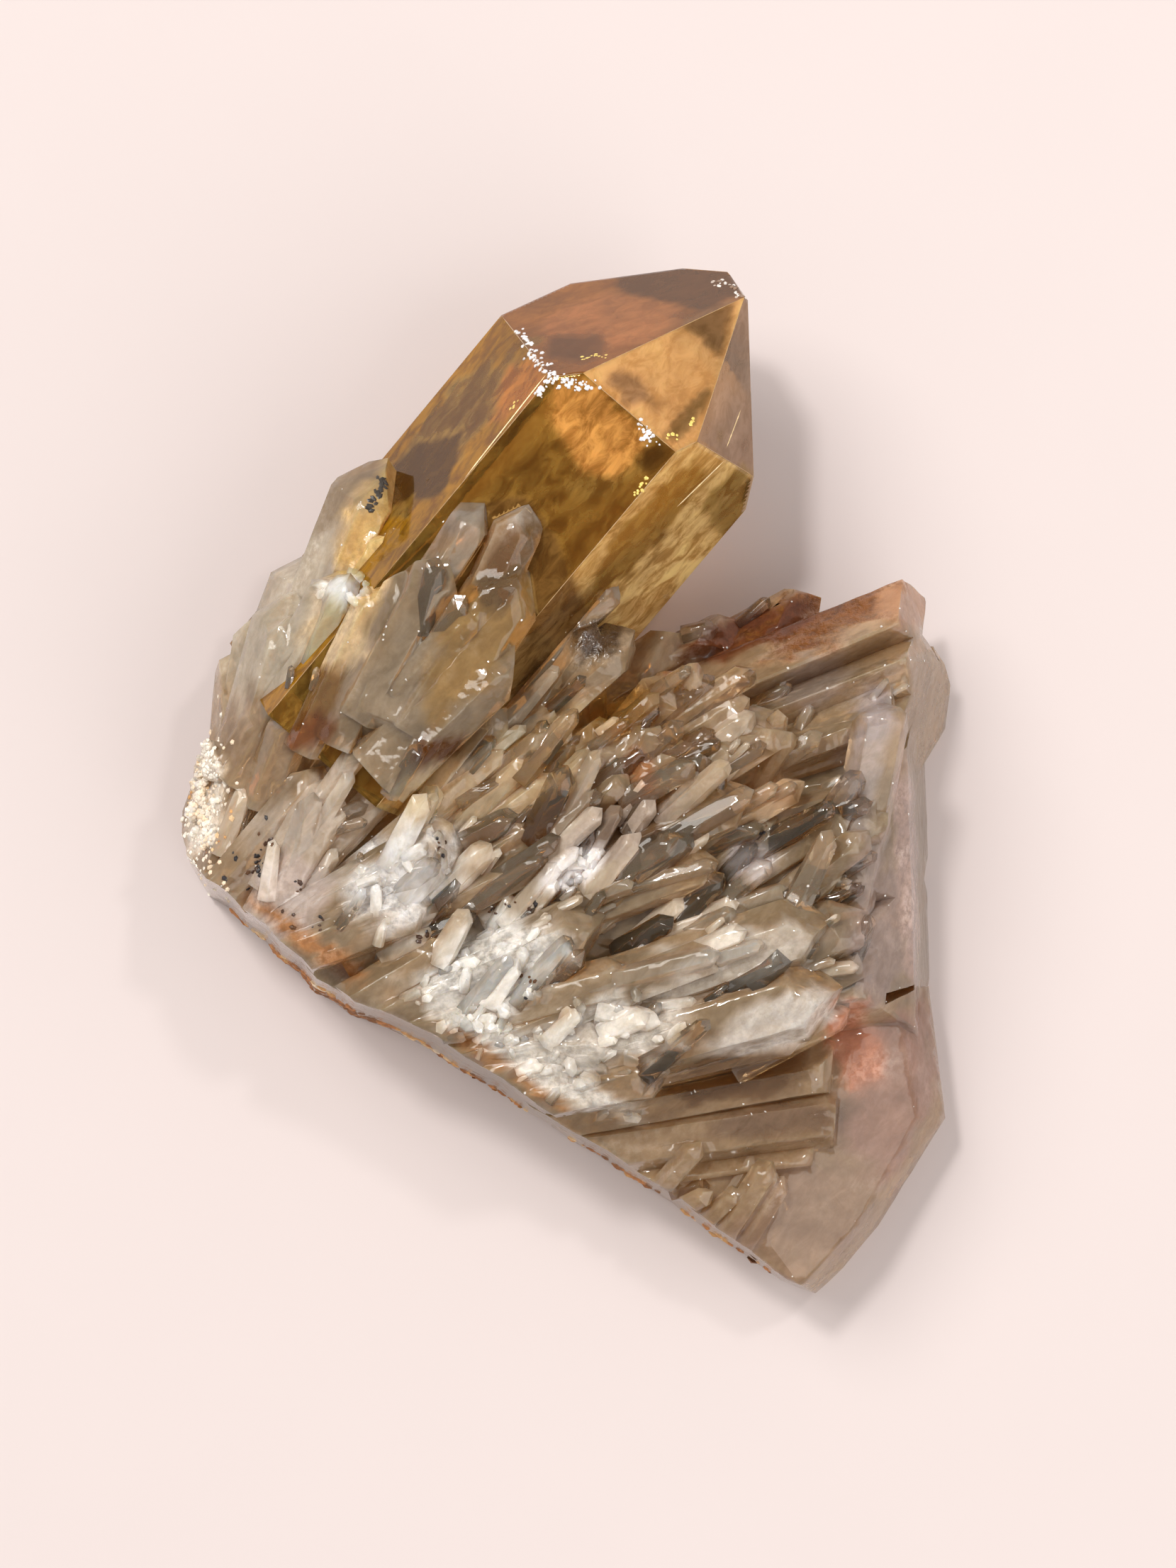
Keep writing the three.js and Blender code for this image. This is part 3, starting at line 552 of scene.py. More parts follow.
def patched(points, corners, colours, haze, patches, seed):
    """Lays ragged patches of colour and haze over the corners, which are at some of the points."""
    colours = np.array(colours, float)
    haze = np.array(haze, float)
    ragged = [rough_noise(points, 3 * MM, seed + 10 * number) - 0.5 for number in range(4)]
    for number, patch in enumerate(patches):
        away = points[:, :2] / MM - patch.middle
        turn = math.radians(patch.turn)
        along = away @ (math.cos(turn), math.sin(turn))
        across = away @ (-math.sin(turn), math.cos(turn))
        reach = np.hypot(along / patch.half[0], across / patch.half[1])
        reach += ragged[number % len(ragged)] * 1.3
        share = (1 - smooth_step(reach, 0.72, 1.14))[corners]
        colours += (np.array(patch.colour) - colours) * share[:, None]
        haze += (patch.haze - haze) * share
    return colours, haze


def shaded(points, corners, colours, haze, shades, seed):
    """Lays patches with crisp outlines, the painted reflections and shade, over the corners, which are at some
    of the points.
    """
    colours = np.array(colours, float)
    haze = np.array(haze, float)
    wander = np.column_stack([smooth_noise(points, 1.5 * MM, seed + axis) - 0.5 for axis in range(2)])
    flat = points[:, :2] / MM + wander * 0.6
    for shade in shades:
        cover = np.zeros(len(points))
        for nudge in ((-0.3, -0.3), (0.3, -0.3), (0, 0), (-0.3, 0.3), (0.3, 0.3)):
            x, y = (flat + nudge).T
            inside = np.zeros(len(points), bool)
            for corner, previous in zip(shade.outline, shade.outline[-1:] + shade.outline[:-1]):
                crosses = (corner[1] > y) != (previous[1] > y)
                rise = (previous[1] - corner[1]) or 1e-9
                inside ^= crosses & (x < corner[0] + (y - corner[1]) / rise * (previous[0] - corner[0]))
            cover += inside * 0.2
        share = cover[corners] * 0.92
        colours += (np.array(shade.colour) - colours) * share[:, None]
        haze += (shade.haze - haze) * share
    return colours, haze


def streaks(points, seed):
    """Noise that is drawn out along the lines of the fan."""
    away = points[:, :2] / MM - FAN_FOCUS
    angle = np.arctan2(away[:, 1], away[:, 0])
    drawn = np.stack([angle * 60, np.hypot(*away.T) * 0.14, points[:, 2] / MM * 0.5], axis=1)
    return rough_noise(drawn, 1.6, seed)


class Grains:
    """Small solid chips, collected in one mesh."""

    def __init__(self, seed):
        self.chance = random.Random(seed)
        self.places = []
        self.faces = []
        self.colours = []

    def add(self, place, size, colour, stretch=(1, 1, 1), way=None):
        """Adds a chip. Its stretch is along its own axes, with +Z turned to the way."""
        chance = self.chance
        spin = Euler((0, 0, chance.uniform(0, 6.28))).to_quaternion()
        turn = (way or Vector((0, 0, 1))).to_track_quat("Z", "Y") @ spin
        ring = 5
        step = FULL_TURN / ring
        low = [
            (math.cos(i * step) * chance.uniform(0.7, 1), math.sin(i * step) * chance.uniform(0.7, 1))
            for i in range(ring)
        ]
        corners = [(x, y, -0.35) for x, y in low] + [(x * 0.62, y * 0.62, 0.3) for x, y in low]
        corners += [(chance.uniform(-0.3, 0.3), chance.uniform(-0.3, 0.3), chance.uniform(0.45, 0.8))]
        first = len(self.places)
        for corner in corners:
            own = Vector(corner) * size / 2
            own = Vector([length * share for length, share in zip(own, stretch)])
            self.places.append(place + turn @ own)
        top = first + 2 * ring
        self.faces.append(tuple(first + i for i in reversed(range(ring))))
        for i in range(ring):
            after = (i + 1) % ring
            self.faces.append((first + i, first + after, first + ring + after, first + ring + i))
            self.faces.append((first + ring + i, first + ring + after, top))
        self.colours += [(*colour, 1)] * (1 + 2 * ring)

    def strew(self, surface, places, spread, sizes, tones, stretch):
        """Drops chips around places, seen from above. The spread and the sizes are in millimetres."""
        chance = self.chance
        for place in places:
            nudge = mm(*[chance.gauss(0, reach) if reach else 0 for reach in spread])
            hit, normal = ground(surface, place + nudge)
            if hit is not None:
                tone = chance.choice(tones) if len(tones) > 1 else tones[0]
                self.add(hit, chance.uniform(*sizes) * MM, tone, stretch, normal)

    def sliver(self, start, end, width, colour, outward):
        """Adds a thin splinter from start to end."""
        along = end - start
        side = along.cross(outward).normalized() * width / 2
        up = outward * width / 2
        first = len(self.places)
        self.places.append(start)
        for share in (0.12, 0.88):
            middle = start.lerp(end, share)
            self.places += [middle + side, middle + up, middle - side, middle - up]
        self.places.append(end)
        for i in range(4):
            after = (i + 1) % 4
            self.faces.append((first, first + 1 + i, first + 1 + after))
            self.faces.append((first + 1 + i, first + 5 + i, first + 5 + after, first + 1 + after))
            self.faces.append((first + 9, first + 5 + after, first + 5 + i))
        self.colours += [(*colour, 1)] * 12

    def mesh(self, name):
        mesh = bpy.data.meshes.new(name)
        mesh.from_pydata(self.places, [], self.faces)
        mesh.update()
        paint(mesh, "body", self.colours)
        return mesh


# ---- the shader trees ----

class Tree:
    """A material's nodes, added one after another and joined as they are added."""

    def __init__(self, name):
        self.material = bpy.data.materials.new(name)
        self.material.use_nodes = True
        self.nodes = self.material.node_tree.nodes
        self.links = self.material.node_tree.links
        self.nodes.clear()
        self.surface = self.nodes.new("ShaderNodeBsdfPrincipled")
        self.output = self.nodes.new("ShaderNodeOutputMaterial")
        self.links.new(self.surface.outputs[0], self.output.inputs["Surface"])
        place = self.nodes.new("ShaderNodeTexCoord").outputs["Object"]
        # the place on the object, in millimetres
        self.place = self.node("VectorMath", settings={"operation": "SCALE"}, i0=place, Scale=1 / MM)

    def put(self, socket, value):
        """Sets a socket to a value, or links it to another socket."""
        if isinstance(value, bpy.types.NodeSocket):
            self.links.new(value, socket)
        elif isinstance(value, (tuple, list)) and socket.type == "RGBA" and len(value) == 3:
            socket.default_value = (*value, 1)
        else:
            socket.default_value = value

    def node(self, kind, output=0, settings=None, **inputs):
        """Adds a node. An input is named by its label, with _ for a space, or by i and its number."""
        made = self.nodes.new("ShaderNode" + kind)
        for name, value in (settings or {}).items():
            setattr(made, name, value)
        for name, value in inputs.items():
            key = int(name[1:]) if name[1:].isdigit() else name.replace("_", " ")
            self.put(made.inputs[key], value)
        return made.outputs[output]

    def math(self, operation, first, second=0.0, clamp=False):
        return self.node("Math", settings={"operation": operation, "use_clamp": clamp}, i0=first, i1=second)

    def ramp(self, value, low, high, bottom=0.0, top=1.0):
        """A smooth step from bottom to top as a value goes from low to high."""
        return self.node(
            "MapRange", settings={"interpolation_type": "SMOOTHSTEP"},
            Value=value, From_Min=low, From_Max=high, To_Min=bottom, To_Max=top,
        )

    def noise(self, scale, detail=3.0, roughness=0.55, distortion=0.0, place=None):
        """A pattern of soft patches, about 1 / scale millimetres across."""
        return self.node(
            "TexNoise", Vector=place or self.place, Scale=scale, Detail=detail, Roughness=roughness,
            Distortion=distortion,
        )

    def mix(self, share, first, second):
        return self.node(
            "Mix", 2, {"data_type": "RGBA", "clamp_factor": True}, i0=share, i6=first, i7=second,
        )

    def blend(self, share, first, second):
        return self.node("Mix", 0, {"data_type": "FLOAT"}, i0=share, i2=first, i3=second)

    def multiply(self, first, second, share=1.0):
        return self.node(
            "Mix", 2, {"data_type": "RGBA", "blend_type": "MULTIPLY"}, i0=share, i6=first, i7=second,
        )

    def turned(self, size, angle):
        """The place in units of a size, along axes turned about +Z."""
        return self.node(
            "Mapping", settings={"vector_type": "TEXTURE"}, Vector=self.place,
            Location=(0, 0, 0), Rotation=(0, 0, math.radians(angle)), Scale=size,
        )


def attribute(tree, name, output="Color"):
    """Colours that were painted on the mesh under a name."""
    return tree.node("Attribute", output, {"attribute_name": name, "attribute_type": "GEOMETRY"})


# ---- what a user would change ----

class CrystalSettings(bpy.types.PropertyGroup):
    """The crystals that grow over the solid."""

    needle_count: IntProperty(
        name="Needles", description="Slender points that lie along the fan", default=210, min=0,
    )
    druse_count: IntProperty(
        name="Druse", description="Tiny points near the foot", default=220, min=0,
    )
    thinnest: FloatProperty(
        name="Thinnest", description="Width of the thinnest needle", default=0.8 * MM, unit="LENGTH",
    )
    thickest: FloatProperty(
        name="Thickest", description="Width of the thickest needle", default=3 * MM, unit="LENGTH",
    )
    facet: FloatProperty(
        name="Facet", description="Longest edge of the painted surface", default=1.8 * MM, unit="LENGTH",
    )
    fine_facet: FloatProperty(
        name="Fine facet", description="The same on the large point", default=0.66 * MM, unit="LENGTH",
    )
    seed: IntProperty(name="Seed", description="Picks another growth", default=7)


class QuartzSettings(bpy.types.PropertyGroup):
    """The colours of the quartz, and how light goes through it."""

    absorbed: FloatVectorProperty(
        name="Body colour", description="What the quartz lets through", subtype="COLOR",
        default=(0.74, 0.58, 0.2), min=0, max=1,
    )
    density: FloatProperty(
        name="Smoke", description="How strongly the body colour builds up with depth, per metre", default=60,
    )
    bleed: FloatProperty(
        name="Bleed", description="How far light spreads in the milky quartz", default=1.6 * MM,
        unit="LENGTH",
    )
    refraction: FloatProperty(name="IOR", description="Quartz's refractive index", default=1.544)
    honey: FloatVectorProperty(
        name="Honey", description="Tint of the clear fan", subtype="COLOR", default=srgb(228, 198, 160),
        min=0, max=1,
    )
    honey_haze: FloatProperty(name="Haze", description="Haze of the clear fan", default=0.36, min=0, max=1)
    edge_white: FloatVectorProperty(
        name="Edges", description="Colour of worn crystal edges", subtype="COLOR",
        default=srgb(250, 244, 236), min=0, max=1,
    )


class StageSettings(bpy.types.PropertyGroup):
    """The floor, the lights and the camera."""

    floor_colour: FloatVectorProperty(
        name="Floor", description="Colour of the floor", subtype="COLOR", default=(0.62, 0.553, 0.553),
        min=0, max=1,
    )
    camera_height: FloatProperty(
        name="Camera height", description="Height of the camera over the floor", default=0.428,
        unit="LENGTH",
    )
    key_power: FloatProperty(
        name="Key light", description="Power of the main lamp", default=12.5, unit="POWER",
    )
    sparkle_power: FloatProperty(
        name="Sparkle", description="Power of the small lamp that makes the facets glitter", default=4,
        unit="POWER",
    )
    fill_power: FloatProperty(
        name="Fill light", description="Power of the soft lamp", default=3.2, unit="POWER",
    )
    sky: FloatProperty(name="Sky", description="Strength of the light from all round", default=0.5)


# ---- materials ----

GOLDEN_REFLECTION = srgb(255, 206, 128)

def quartz_material(quartz):
    """Smoky quartz: clear to milky as its haze says, with painted highlights along the fan's streaks, and a
    fine grain where milky.
    """
    tree = Tree("smoky_quartz")
    body = attribute(tree, "body")
    haze = attribute(tree, "body", "Alpha")
    # its channels: the painted highlight along the fan's streaks, grain, veils and ripples
    highlight_and_grain = attribute(tree, "highlight_and_grain")
    edge = tree.node("SeparateColor", "Red", i0=highlight_and_grain)
    grain = tree.node("SeparateColor", "Green", i0=highlight_and_grain)
    veiled = tree.node("SeparateColor", "Blue", i0=highlight_and_grain)
    fine = tree.noise(1.3, 3, 0.65)

    veils = tree.noise(1.0, 5, 0.64, 0.7, place=tree.turned((3, 1.4, 1.4), GROOVE_TURN))

    broken = tree.blend(grain, 1.0, tree.ramp(fine, 0.3, 0.7, 0.66, 1.34))
    broken = tree.math("MULTIPLY", broken, tree.blend(veiled, 1.0, tree.ramp(veils, 0.3, 0.7, 0.65, 1.35)))
    milky = tree.math("MULTIPLY", haze, broken, clamp=True)
    # painted highlight: whitish streaks along the fan's lines
    painted_highlight = tree.math("MULTIPLY", edge, tree.ramp(fine, 0.4, 0.62, 0.05, 0.6))
    stained = tree.mix(tree.ramp(veils, 0.36, 0.6), srgb(222, 206, 172), (1, 1, 1))
    colour = tree.mix(painted_highlight, tree.multiply(body, stained, veiled), tuple(quartz.edge_white))
    clear = tree.ramp(milky, 0.0, 1.0, 0.98, 0.12)
    dull = tree.math("ADD", tree.math("MULTIPLY", milky, 0.07), tree.ramp(fine, 0.3, 0.8, 0.01, 0.06))
    rippled = tree.noise(0.8, 1, 0.5)
    crumbs = tree.math("MULTIPLY", tree.math("MULTIPLY", fine, milky), 0.9)
    ripple = tree.math("MULTIPLY", rippled, attribute(tree, "highlight_and_grain", "Alpha"))
    relief = tree.math("ADD", tree.math("MULTIPLY", crumbs, grain), ripple)
    normal = tree.node("Bump", Strength=0.6, Distance=0.3 * MM, Height=relief)

    surface = tree.surface
    tree.put(surface.inputs["Base Color"], colour)
    tree.put(surface.inputs["Transmission Weight"], clear)
    tree.put(surface.inputs["Roughness"], dull)
    tree.put(surface.inputs["Normal"], normal)
    surface.inputs["IOR"].default_value = quartz.refraction
    glow = tree.mix(tree.ramp(veiled, 0.22, 0.3), (1,) * 3, GOLDEN_REFLECTION)
    tree.put(surface.inputs["Specular Tint"], glow)
    surface.inputs["Subsurface Weight"].default_value = 0.6
    surface.inputs["Subsurface Radius"].default_value = (1, 0.85, 0.65)
    surface.inputs["Subsurface Scale"].default_value = quartz.bleed
    volume = tree.nodes.new("ShaderNodeVolumeAbsorption")
    volume.inputs["Color"].default_value = (*quartz.absorbed, 1)
    volume.inputs["Density"].default_value = quartz.density
    tree.links.new(volume.outputs[0], tree.output.inputs["Volume"])
    return tree.material


def grain_material(name, roughness, metallic=0.0, clear=0.0):
    """A chip's own colour, mottled, with a pitted surface."""
    tree = Tree(name)
    mottle = tree.noise(2.5, 3)
    shade = tree.mix(tree.ramp(mottle, 0.35, 0.7), (0.7,) * 3, (1,) * 3)
    surface = tree.surface
    tree.put(surface.inputs["Base Color"], tree.multiply(attribute(tree, "body"), shade))
    rough = tree.ramp(mottle, 0.3, 0.8, roughness * 0.8, min(1.0, roughness * 1.25))
    tree.put(surface.inputs["Roughness"], rough)
    tree.put(surface.inputs["Normal"], tree.node("Bump", Strength=0.4, Distance=0.1 * MM, Height=mottle))
    surface.inputs["Metallic"].default_value = metallic
    surface.inputs["Transmission Weight"].default_value = clear
    return tree.material


def floor_material(colour):
    """A matt surface of nearly one colour."""
    tree = Tree("matt_floor")
    grain = tree.noise(0.05, 2)
    shade = tree.mix(grain, (0.98,) * 3, (1,) * 3)
    tree.put(tree.surface.inputs["Base Color"], tree.multiply(tuple(colour), shade))
    tree.surface.inputs["Roughness"].default_value = 0.9
    return tree.material


# ---- the pieces ----

def faces_on_large_point(mesh):
    """For each face, the side of the large point that it lies on, or -1, and whether it is at the tip."""
    count = len(mesh.polygons)
    normals = np.zeros(count * 3)
    centres = np.zeros(count * 3)
    mesh.polygons.foreach_get("normal", normals)
    mesh.polygons.foreach_get("center", centres)
    normals = normals.reshape(-1, 3)
    centres = centres.reshape(-1, 3)
    sides = np.full(count, -1)
    at_tip = np.zeros(count, bool)
    for number, (normal, reach) in enumerate(quartz_planes(**LARGE_POINT)[1:]):
        outward = np.array(normal)
        on = (normals @ outward > 0.9995) & (np.abs(centres @ outward - reach) < 0.04 * MM)
        sides[on] = number // 2
        at_tip[on] = number % 2 == 1
    return sides, at_tip


def grown_mesh(name, chance, root, tip, across, milk, **shape):
    """A small crystal, with a share of milk and a tone of its own."""
    planes = quartz_planes(
        root, tip, across, spin=chance.uniform(0, 60), lift=natural_lift(chance, across),
        taper=math.radians(chance.uniform(0.5, 3.5)), **shape,
    )
    mesh = convex_mesh(name, corners_inside(planes))
    paint(mesh, "habit", [(milk, chance.random(), 1, 1)] * len(mesh.polygons))
    return mesh


def surface_of(mesh):
    """A mesh's faces, to cast rays at."""
    faces = [tuple(face.vertices) for face in mesh.polygons]
    return BVHTree.FromPolygons([v.co for v in mesh.vertices], faces)


def ground(surface, place):
    """Where the surface is under a place, and which way it faces."""
    hit, normal, _, _ = surface.ray_cast(Vector((place.x, place.y, 1)), Vector((0, 0, -1)))
    return hit, normal


def needles(surface, crystals):
    """Slender points that lie along the fan and rise a little out of it."""
    chance = random.Random(crystals.seed)
    ceiling = CAD_BOX[1].z
    made = []
    tries = 0
    while len(made) < crystals.needle_count and tries < MOST_TRIES:
        tries += 1
        place, angle = fan_place(chance.uniform(0, 1), chance.uniform(3, 62) * MM)
        across = crystals.thinnest + (crystals.thickest - crystals.thinnest) * chance.random() ** 2
        length = across * chance.uniform(1.0, 2.2)
        turn = angle + math.radians(chance.gauss(0, 14))
        way = Vector((math.cos(turn), math.sin(turn), 0))
        end = place + way.xy * length
        start = place - way.xy * length * 0.6
        bare = (BARE_GLASS, *BROAD_CRYSTALS)
        if any(inside_outline(spot, outline) for outline in bare for spot in (place, end)):
            continue
        seats = [ground(surface, spot)[0] for spot in (start, place, end)]
        if None in seats or max(s.z for s in seats) - min(s.z for s in seats) > 2.2 * MM:
            continue
        slope = math.radians(chance.uniform(4, 26))
        tip = Vector((end.x, end.y, seats[1].z + across * 0.25 + math.tan(slope) * length))
        if tip.z > ceiling or tip.z > seats[2].z + across * 1.1:
            continue
        root = tip - (way + Vector((0, 0, math.tan(slope)))) * length * 1.5
        if root.z > ground(surface, start)[0].z - across * 0.2:
            continue
        made.append(grown_mesh("needle", chance, root, tip, across, chance.random() ** 2))
    return made


def placed(surface, crystals):
    """The glassy crystals that have places of their own."""
    chance = random.Random(crystals.seed + 3)
    made = []
    for root, tip, across, milk in PLACED_CRYSTALS:
        start, end = mm(*root), mm(*tip)
        across *= MM
        low, high = ground(surface, start)[0], ground(surface, end)[0]
        if low is None or high is None:
            continue
        middle = ground(surface, (start + end) / 2)[0]
        level = max(high.z, middle.z) if abs(high.z - middle.z) < 3 * MM else middle.z
        base = Vector((*start, min(low.z, level) - across * 0.45))
        point = Vector((*end, min(level + across * 0.2, CAD_BOX[1].z - across * 0.1)))
        base -= (point - base).normalized() * across * 0.5
        made.append(grown_mesh("placed", chance, base, point, across, milk))
    return made


def druse(surface, crystals):
    """Tiny points that stand in all directions near the foot."""
    chance = random.Random(crystals.seed + 1)
    made = []
    tries = 0
    white = [patch for patch in FAN_PATCHES if patch.haze > 0.6 and min(patch.colour) > 0.62]
    while len(made) < crystals.druse_count and tries < MOST_TRIES:
        tries += 1
        patch = chance.choice(white)
        spread, turn = math.sqrt(chance.random()), chance.uniform(0, 2 * math.pi)
        along, across = spread * math.cos(turn) * patch.half[0], spread * math.sin(turn) * patch.half[1]
        heading = math.radians(patch.turn)
        place = mm(
            patch.middle[0] + along * math.cos(heading) - across * math.sin(heading),
            patch.middle[1] + along * math.sin(heading) + across * math.cos(heading),
        )
        hit, normal = ground(surface, place)
        if hit is None or normal.z < 0.25:
            continue
        angle = math.atan2(place.y / MM - FAN_FOCUS[1], place.x / MM - FAN_FOCUS[0])
        angle += math.radians(chance.gauss(0, DRUSE_TURN))
        way = Vector((math.cos(angle), math.sin(angle), chance.uniform(0.2, 1.6))).normalized()
        wide = chance.uniform(0.5, 1.4) * MM
        length = wide * chance.uniform(0.5, 1.2)
        root, tip = hit - way * wide, hit + way * length
        made.append(grown_mesh("druse", chance, root, tip, wide, chance.uniform(0.2, 1)))
    return made


def cluster_mesh(crystals, quartz):
    """The solid and the small crystals, joined in one closed mesh and painted."""
    mesh = frame["nodes"][NODE].data.copy()
    weld(mesh)
    chance = random.Random(crystals.seed + 2)
    paint(mesh, "habit", [(0.5, chance.random(), 0, 1) for _ in mesh.polygons])
    surface = surface_of(mesh)
    grown = placed(surface, crystals) + needles(surface, crystals) + druse(surface, crystals)
    joined = union(mesh, grown)
    sides, at_tip = faces_on_large_point(joined)
    side_of = joined.attributes.new("side", "INT", "FACE").data
    side_of.foreach_set("value", np.where(sides < 0, -1, sides + AT_TIP * at_tip))
    # the sharp edges that get painted highlights
    highlit = sharp_edges(joined)
    refined(joined, crystals.facet, crystals.fine_facet, 1 * MM)
    paint_cluster(joined, quartz)
    print("CLUSTER", len(grown), "crystals", len(joined.polygons), "faces", len(highlit), "edges")
    return joined, highlit


def paint_cluster(mesh, quartz):
    """Paints the quartz's colour, haze, painted streak highlights, grain, veils and ripples, and roughens it
    where it is milky.
    """
    count = len(mesh.vertices)
    places = np.zeros(count * 3)
    mesh.vertices.foreach_get("co", places)
    places = places.reshape(-1, 3)
    fan_colour, fan_haze = patched(
        places, np.arange(count), [tuple(quartz.honey)] * count, [quartz.honey_haze] * count,
        FAN_PATCHES, 100,
    )
    lines = streaks(places, 40)
    fan_haze = np.clip(fan_haze * (0.75 + 0.5 * lines), 0, 1)
    fan_colour *= (0.82 + 0.3 * rough_noise(places, 4 * MM, 50))[:, None]

    # iron stains where the broken foot reaches furthest
    stain = smooth_step(places @ np.array(FOOT_OUTWARD), FOOT_REACH - 2 * MM, FOOT_REACH - 0.8 * MM)
    stain *= 0.5 + 0.45 * smooth_step(rough_noise(places, 5 * MM, 90), 0.35, 0.6)
    fan_colour += (np.array(srgb(184, 122, 74)) - fan_colour) * stain[:, None]
    fan_haze += (0.85 - fan_haze) * stain

    side_of = np.zeros(len(mesh.polygons), int)
    mesh.attributes["side"].data.foreach_get("value", side_of)
    corners = np.zeros(len(mesh.loops), int)
    mesh.loops.foreach_get("vertex_index", corners)
    totals = np.zeros(len(mesh.polygons), int)
    mesh.polygons.foreach_get("loop_total", totals)
    face_of = np.repeat(np.arange(len(totals)), totals)
    corner_sides = side_of[face_of]
    large = corner_sides >= 0

    # the small crystals' own milk and tone
    habit = painted(mesh, "habit")[face_of]
    own = habit[:, 2]
    cleared = 0.6 - 0.26 * smooth_step(fan_haze, 0.45, 0.7)[corners]
    haze = fan_haze[corners] * (1 - cleared * own) + own * (habit[:, 0] * 0.5 - 0.05)
    colour = fan_colour[corners] * (0.92 + 0.22 * own[:, None] * habit[:, 1:2])
    colour += (np.array(srgb(250, 244, 236)) - colour) * (own * habit[:, 0] * 0.4)[:, None]

    # the large point, with painted light and shade on the faces that face up
    base = np.ones((len(corners), 3))
    base_haze = np.zeros(len(corners))
    for faces, tip in ((PRISM_FACES, False), (TIP_FACES, True)):
        for side, (tint, haziness) in faces.items():
            on = corner_sides == side + AT_TIP * tip
            base[on] = tint
            base_haze[on] = haziness
    glass, glass_haze = patched(places, corners, base, base_haze, LARGE_POINT_PATCHES, 300)
    glass, glass_haze = shaded(places, corners, glass, glass_haze, LARGE_POINT_SHADES, 400)
    upward = np.isin(corner_sides % AT_TIP, UPWARD_SIDES)
    glass = np.where(upward[:, None], glass, base)
    glass_haze = np.where(upward, glass_haze, base_haze)
    clouds = rough_noise(places, 5 * MM, 60)[corners]
    glass = glass * (0.84 + 0.32 * clouds)[:, None]
    glass_haze = glass_haze * (0.75 + 0.5 * clouds)
    colour = np.where(large[:, None], glass, colour)
    haze = np.where(large, glass_haze, haze)

    # painted highlight: whitish streaks along the fan's lines, kept off the large point
    streak_highlight = smooth_step(lines, 0.55, 0.8)[corners] * ~large * 0.3
    grain = np.where(large, 0.03, (0.12 + 0.88 * smooth_step(haze, 0.5, 0.75)) * (1 - 0.7 * own))
    ripple = np.where(large, 0.02, 0.4 - 0.3 * own)
    veiled = np.where(large, np.where(corner_sides < AT_TIP, 0.8, 0.32), 0.2)
    paint(mesh, "body", np.column_stack([np.clip(colour, 0, 1), np.clip(haze, 0, 1)]), "CORNER")
    paint(mesh, "highlight_and_grain", np.column_stack([streak_highlight, grain, veiled, ripple]), "CORNER")

    # a crumbly surface where it is milky, and slightly uneven crystals elsewhere
    firm = np.zeros(count, bool)
    firm[corners[large]] = True
    firm |= places[:, 2] < 0.6 * MM
    amount = (0.04 + 0.16 * smooth_step(fan_haze, 0.5, 0.75)) * MM
    amount[corners[own > 0.5]] *= 0.3
    amount[firm] = 0
    push = np.column_stack([smooth_noise(places, 1.1 * MM, seed) - 0.5 for seed in (70, 71, 72)])
    low, high = CAD_BOX
    moved = np.clip(places + push * 2 * amount[:, None], np.array(low), np.array(high))
    mesh.vertices.foreach_set("co", moved.ravel())
    mesh.polygons.foreach_set("use_smooth", (side_of < 0) & (painted(mesh, "habit")[:, 2] < 0.5))
    mesh.set_sharp_from_angle(angle=CREASE)
    mesh.update()


def along_lines(lines, step):
    """Places at even steps along lines of places, in metres."""
    for line in lines:
        for start, end in zip(line, line[1:]):
            first, last = mm(*start), mm(*end)
            count = max(1, round((last - first).length / step))
            for number in range(count):
                yield first.lerp(last, (number + 0.5) / count)


def cluster_surface():
    """The dressed crystals, to set small things on."""
    return surface_of(bpy.data.objects["crystals"].data)


class CITRINE_OT_cluster(bpy.types.Operator):
    """Builds the grown-together crystals as one closed piece"""

    bl_idname = "citrine.cluster"
    bl_label = "Crystals"

    def execute(self, context):
        scene = context.scene
        mesh, highlit = cluster_mesh(scene.citrine_crystals, scene.citrine_quartz)
        piece = shown_object("crystals", mesh, quartz_material(scene.citrine_quartz))
        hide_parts(NODE)

        # painted highlights along the sharp edges: thin golden slivers on the large point, and white frosted
        # chips on the fan that also stand for highlights
        highlight_splinters = Grains(15)
        chance = highlight_splinters.chance
        for first, last, outward, on_point in highlit:
            if on_point:
                highlight_splinters.sliver(first, last, 0.08 * MM, srgb(214, 178, 128), outward)
                continue
            for _ in range(round((last - first).length / MM * chance.uniform(0, 0.24))):
                spot = first.lerp(last, chance.random())
                spot += mm(chance.gauss(0, 0.15), chance.gauss(0, 0.15), 0)
                size = chance.uniform(0.15, 0.42) * MM
                highlight_splinters.add(spot, size, srgb(254, 251, 247), (1, chance.uniform(0.4, 1), 0.5), outward)
        frost = grain_material("edge_frost_and_highlight", 0.07, clear=0.3)
        shown_object("edge_chips_and_highlights", highlight_splinters.mesh("edge_chips_and_highlights"), frost)
        return {"FINISHED"}


class CITRINE_OT_cracks(bpy.types.Operator):
    """Sets the sparkling healed cracks and the chipped edge on the large point"""

    bl_idname = "citrine.cracks"
    bl_label = "Healed cracks"

    def execute(self, context):
        surface = cluster_surface()
        grains = Grains(11)
        cracks = along_lines(HEALED_CRACKS, 0.09 * MM)
        grains.strew(surface, cracks, (0.28, 0.28), (0.2, 0.75), (srgb(246, 246, 250),), (1, 1, 0.7))
        chips = along_lines((CHIPPED_EDGE,), 0.16 * MM)
        tones = (srgb(246, 240, 236), srgb(214, 198, 186), srgb(150, 124, 104))
        grains.strew(surface, chips, (0.2, 0.2), (0.4, 1.0), tones, (1, 0.7, 0.5))
        shown_object("healed_cracks", grains.mesh("healed_cracks"), grain_material("crack_frost", 0.22))
        return {"FINISHED"}


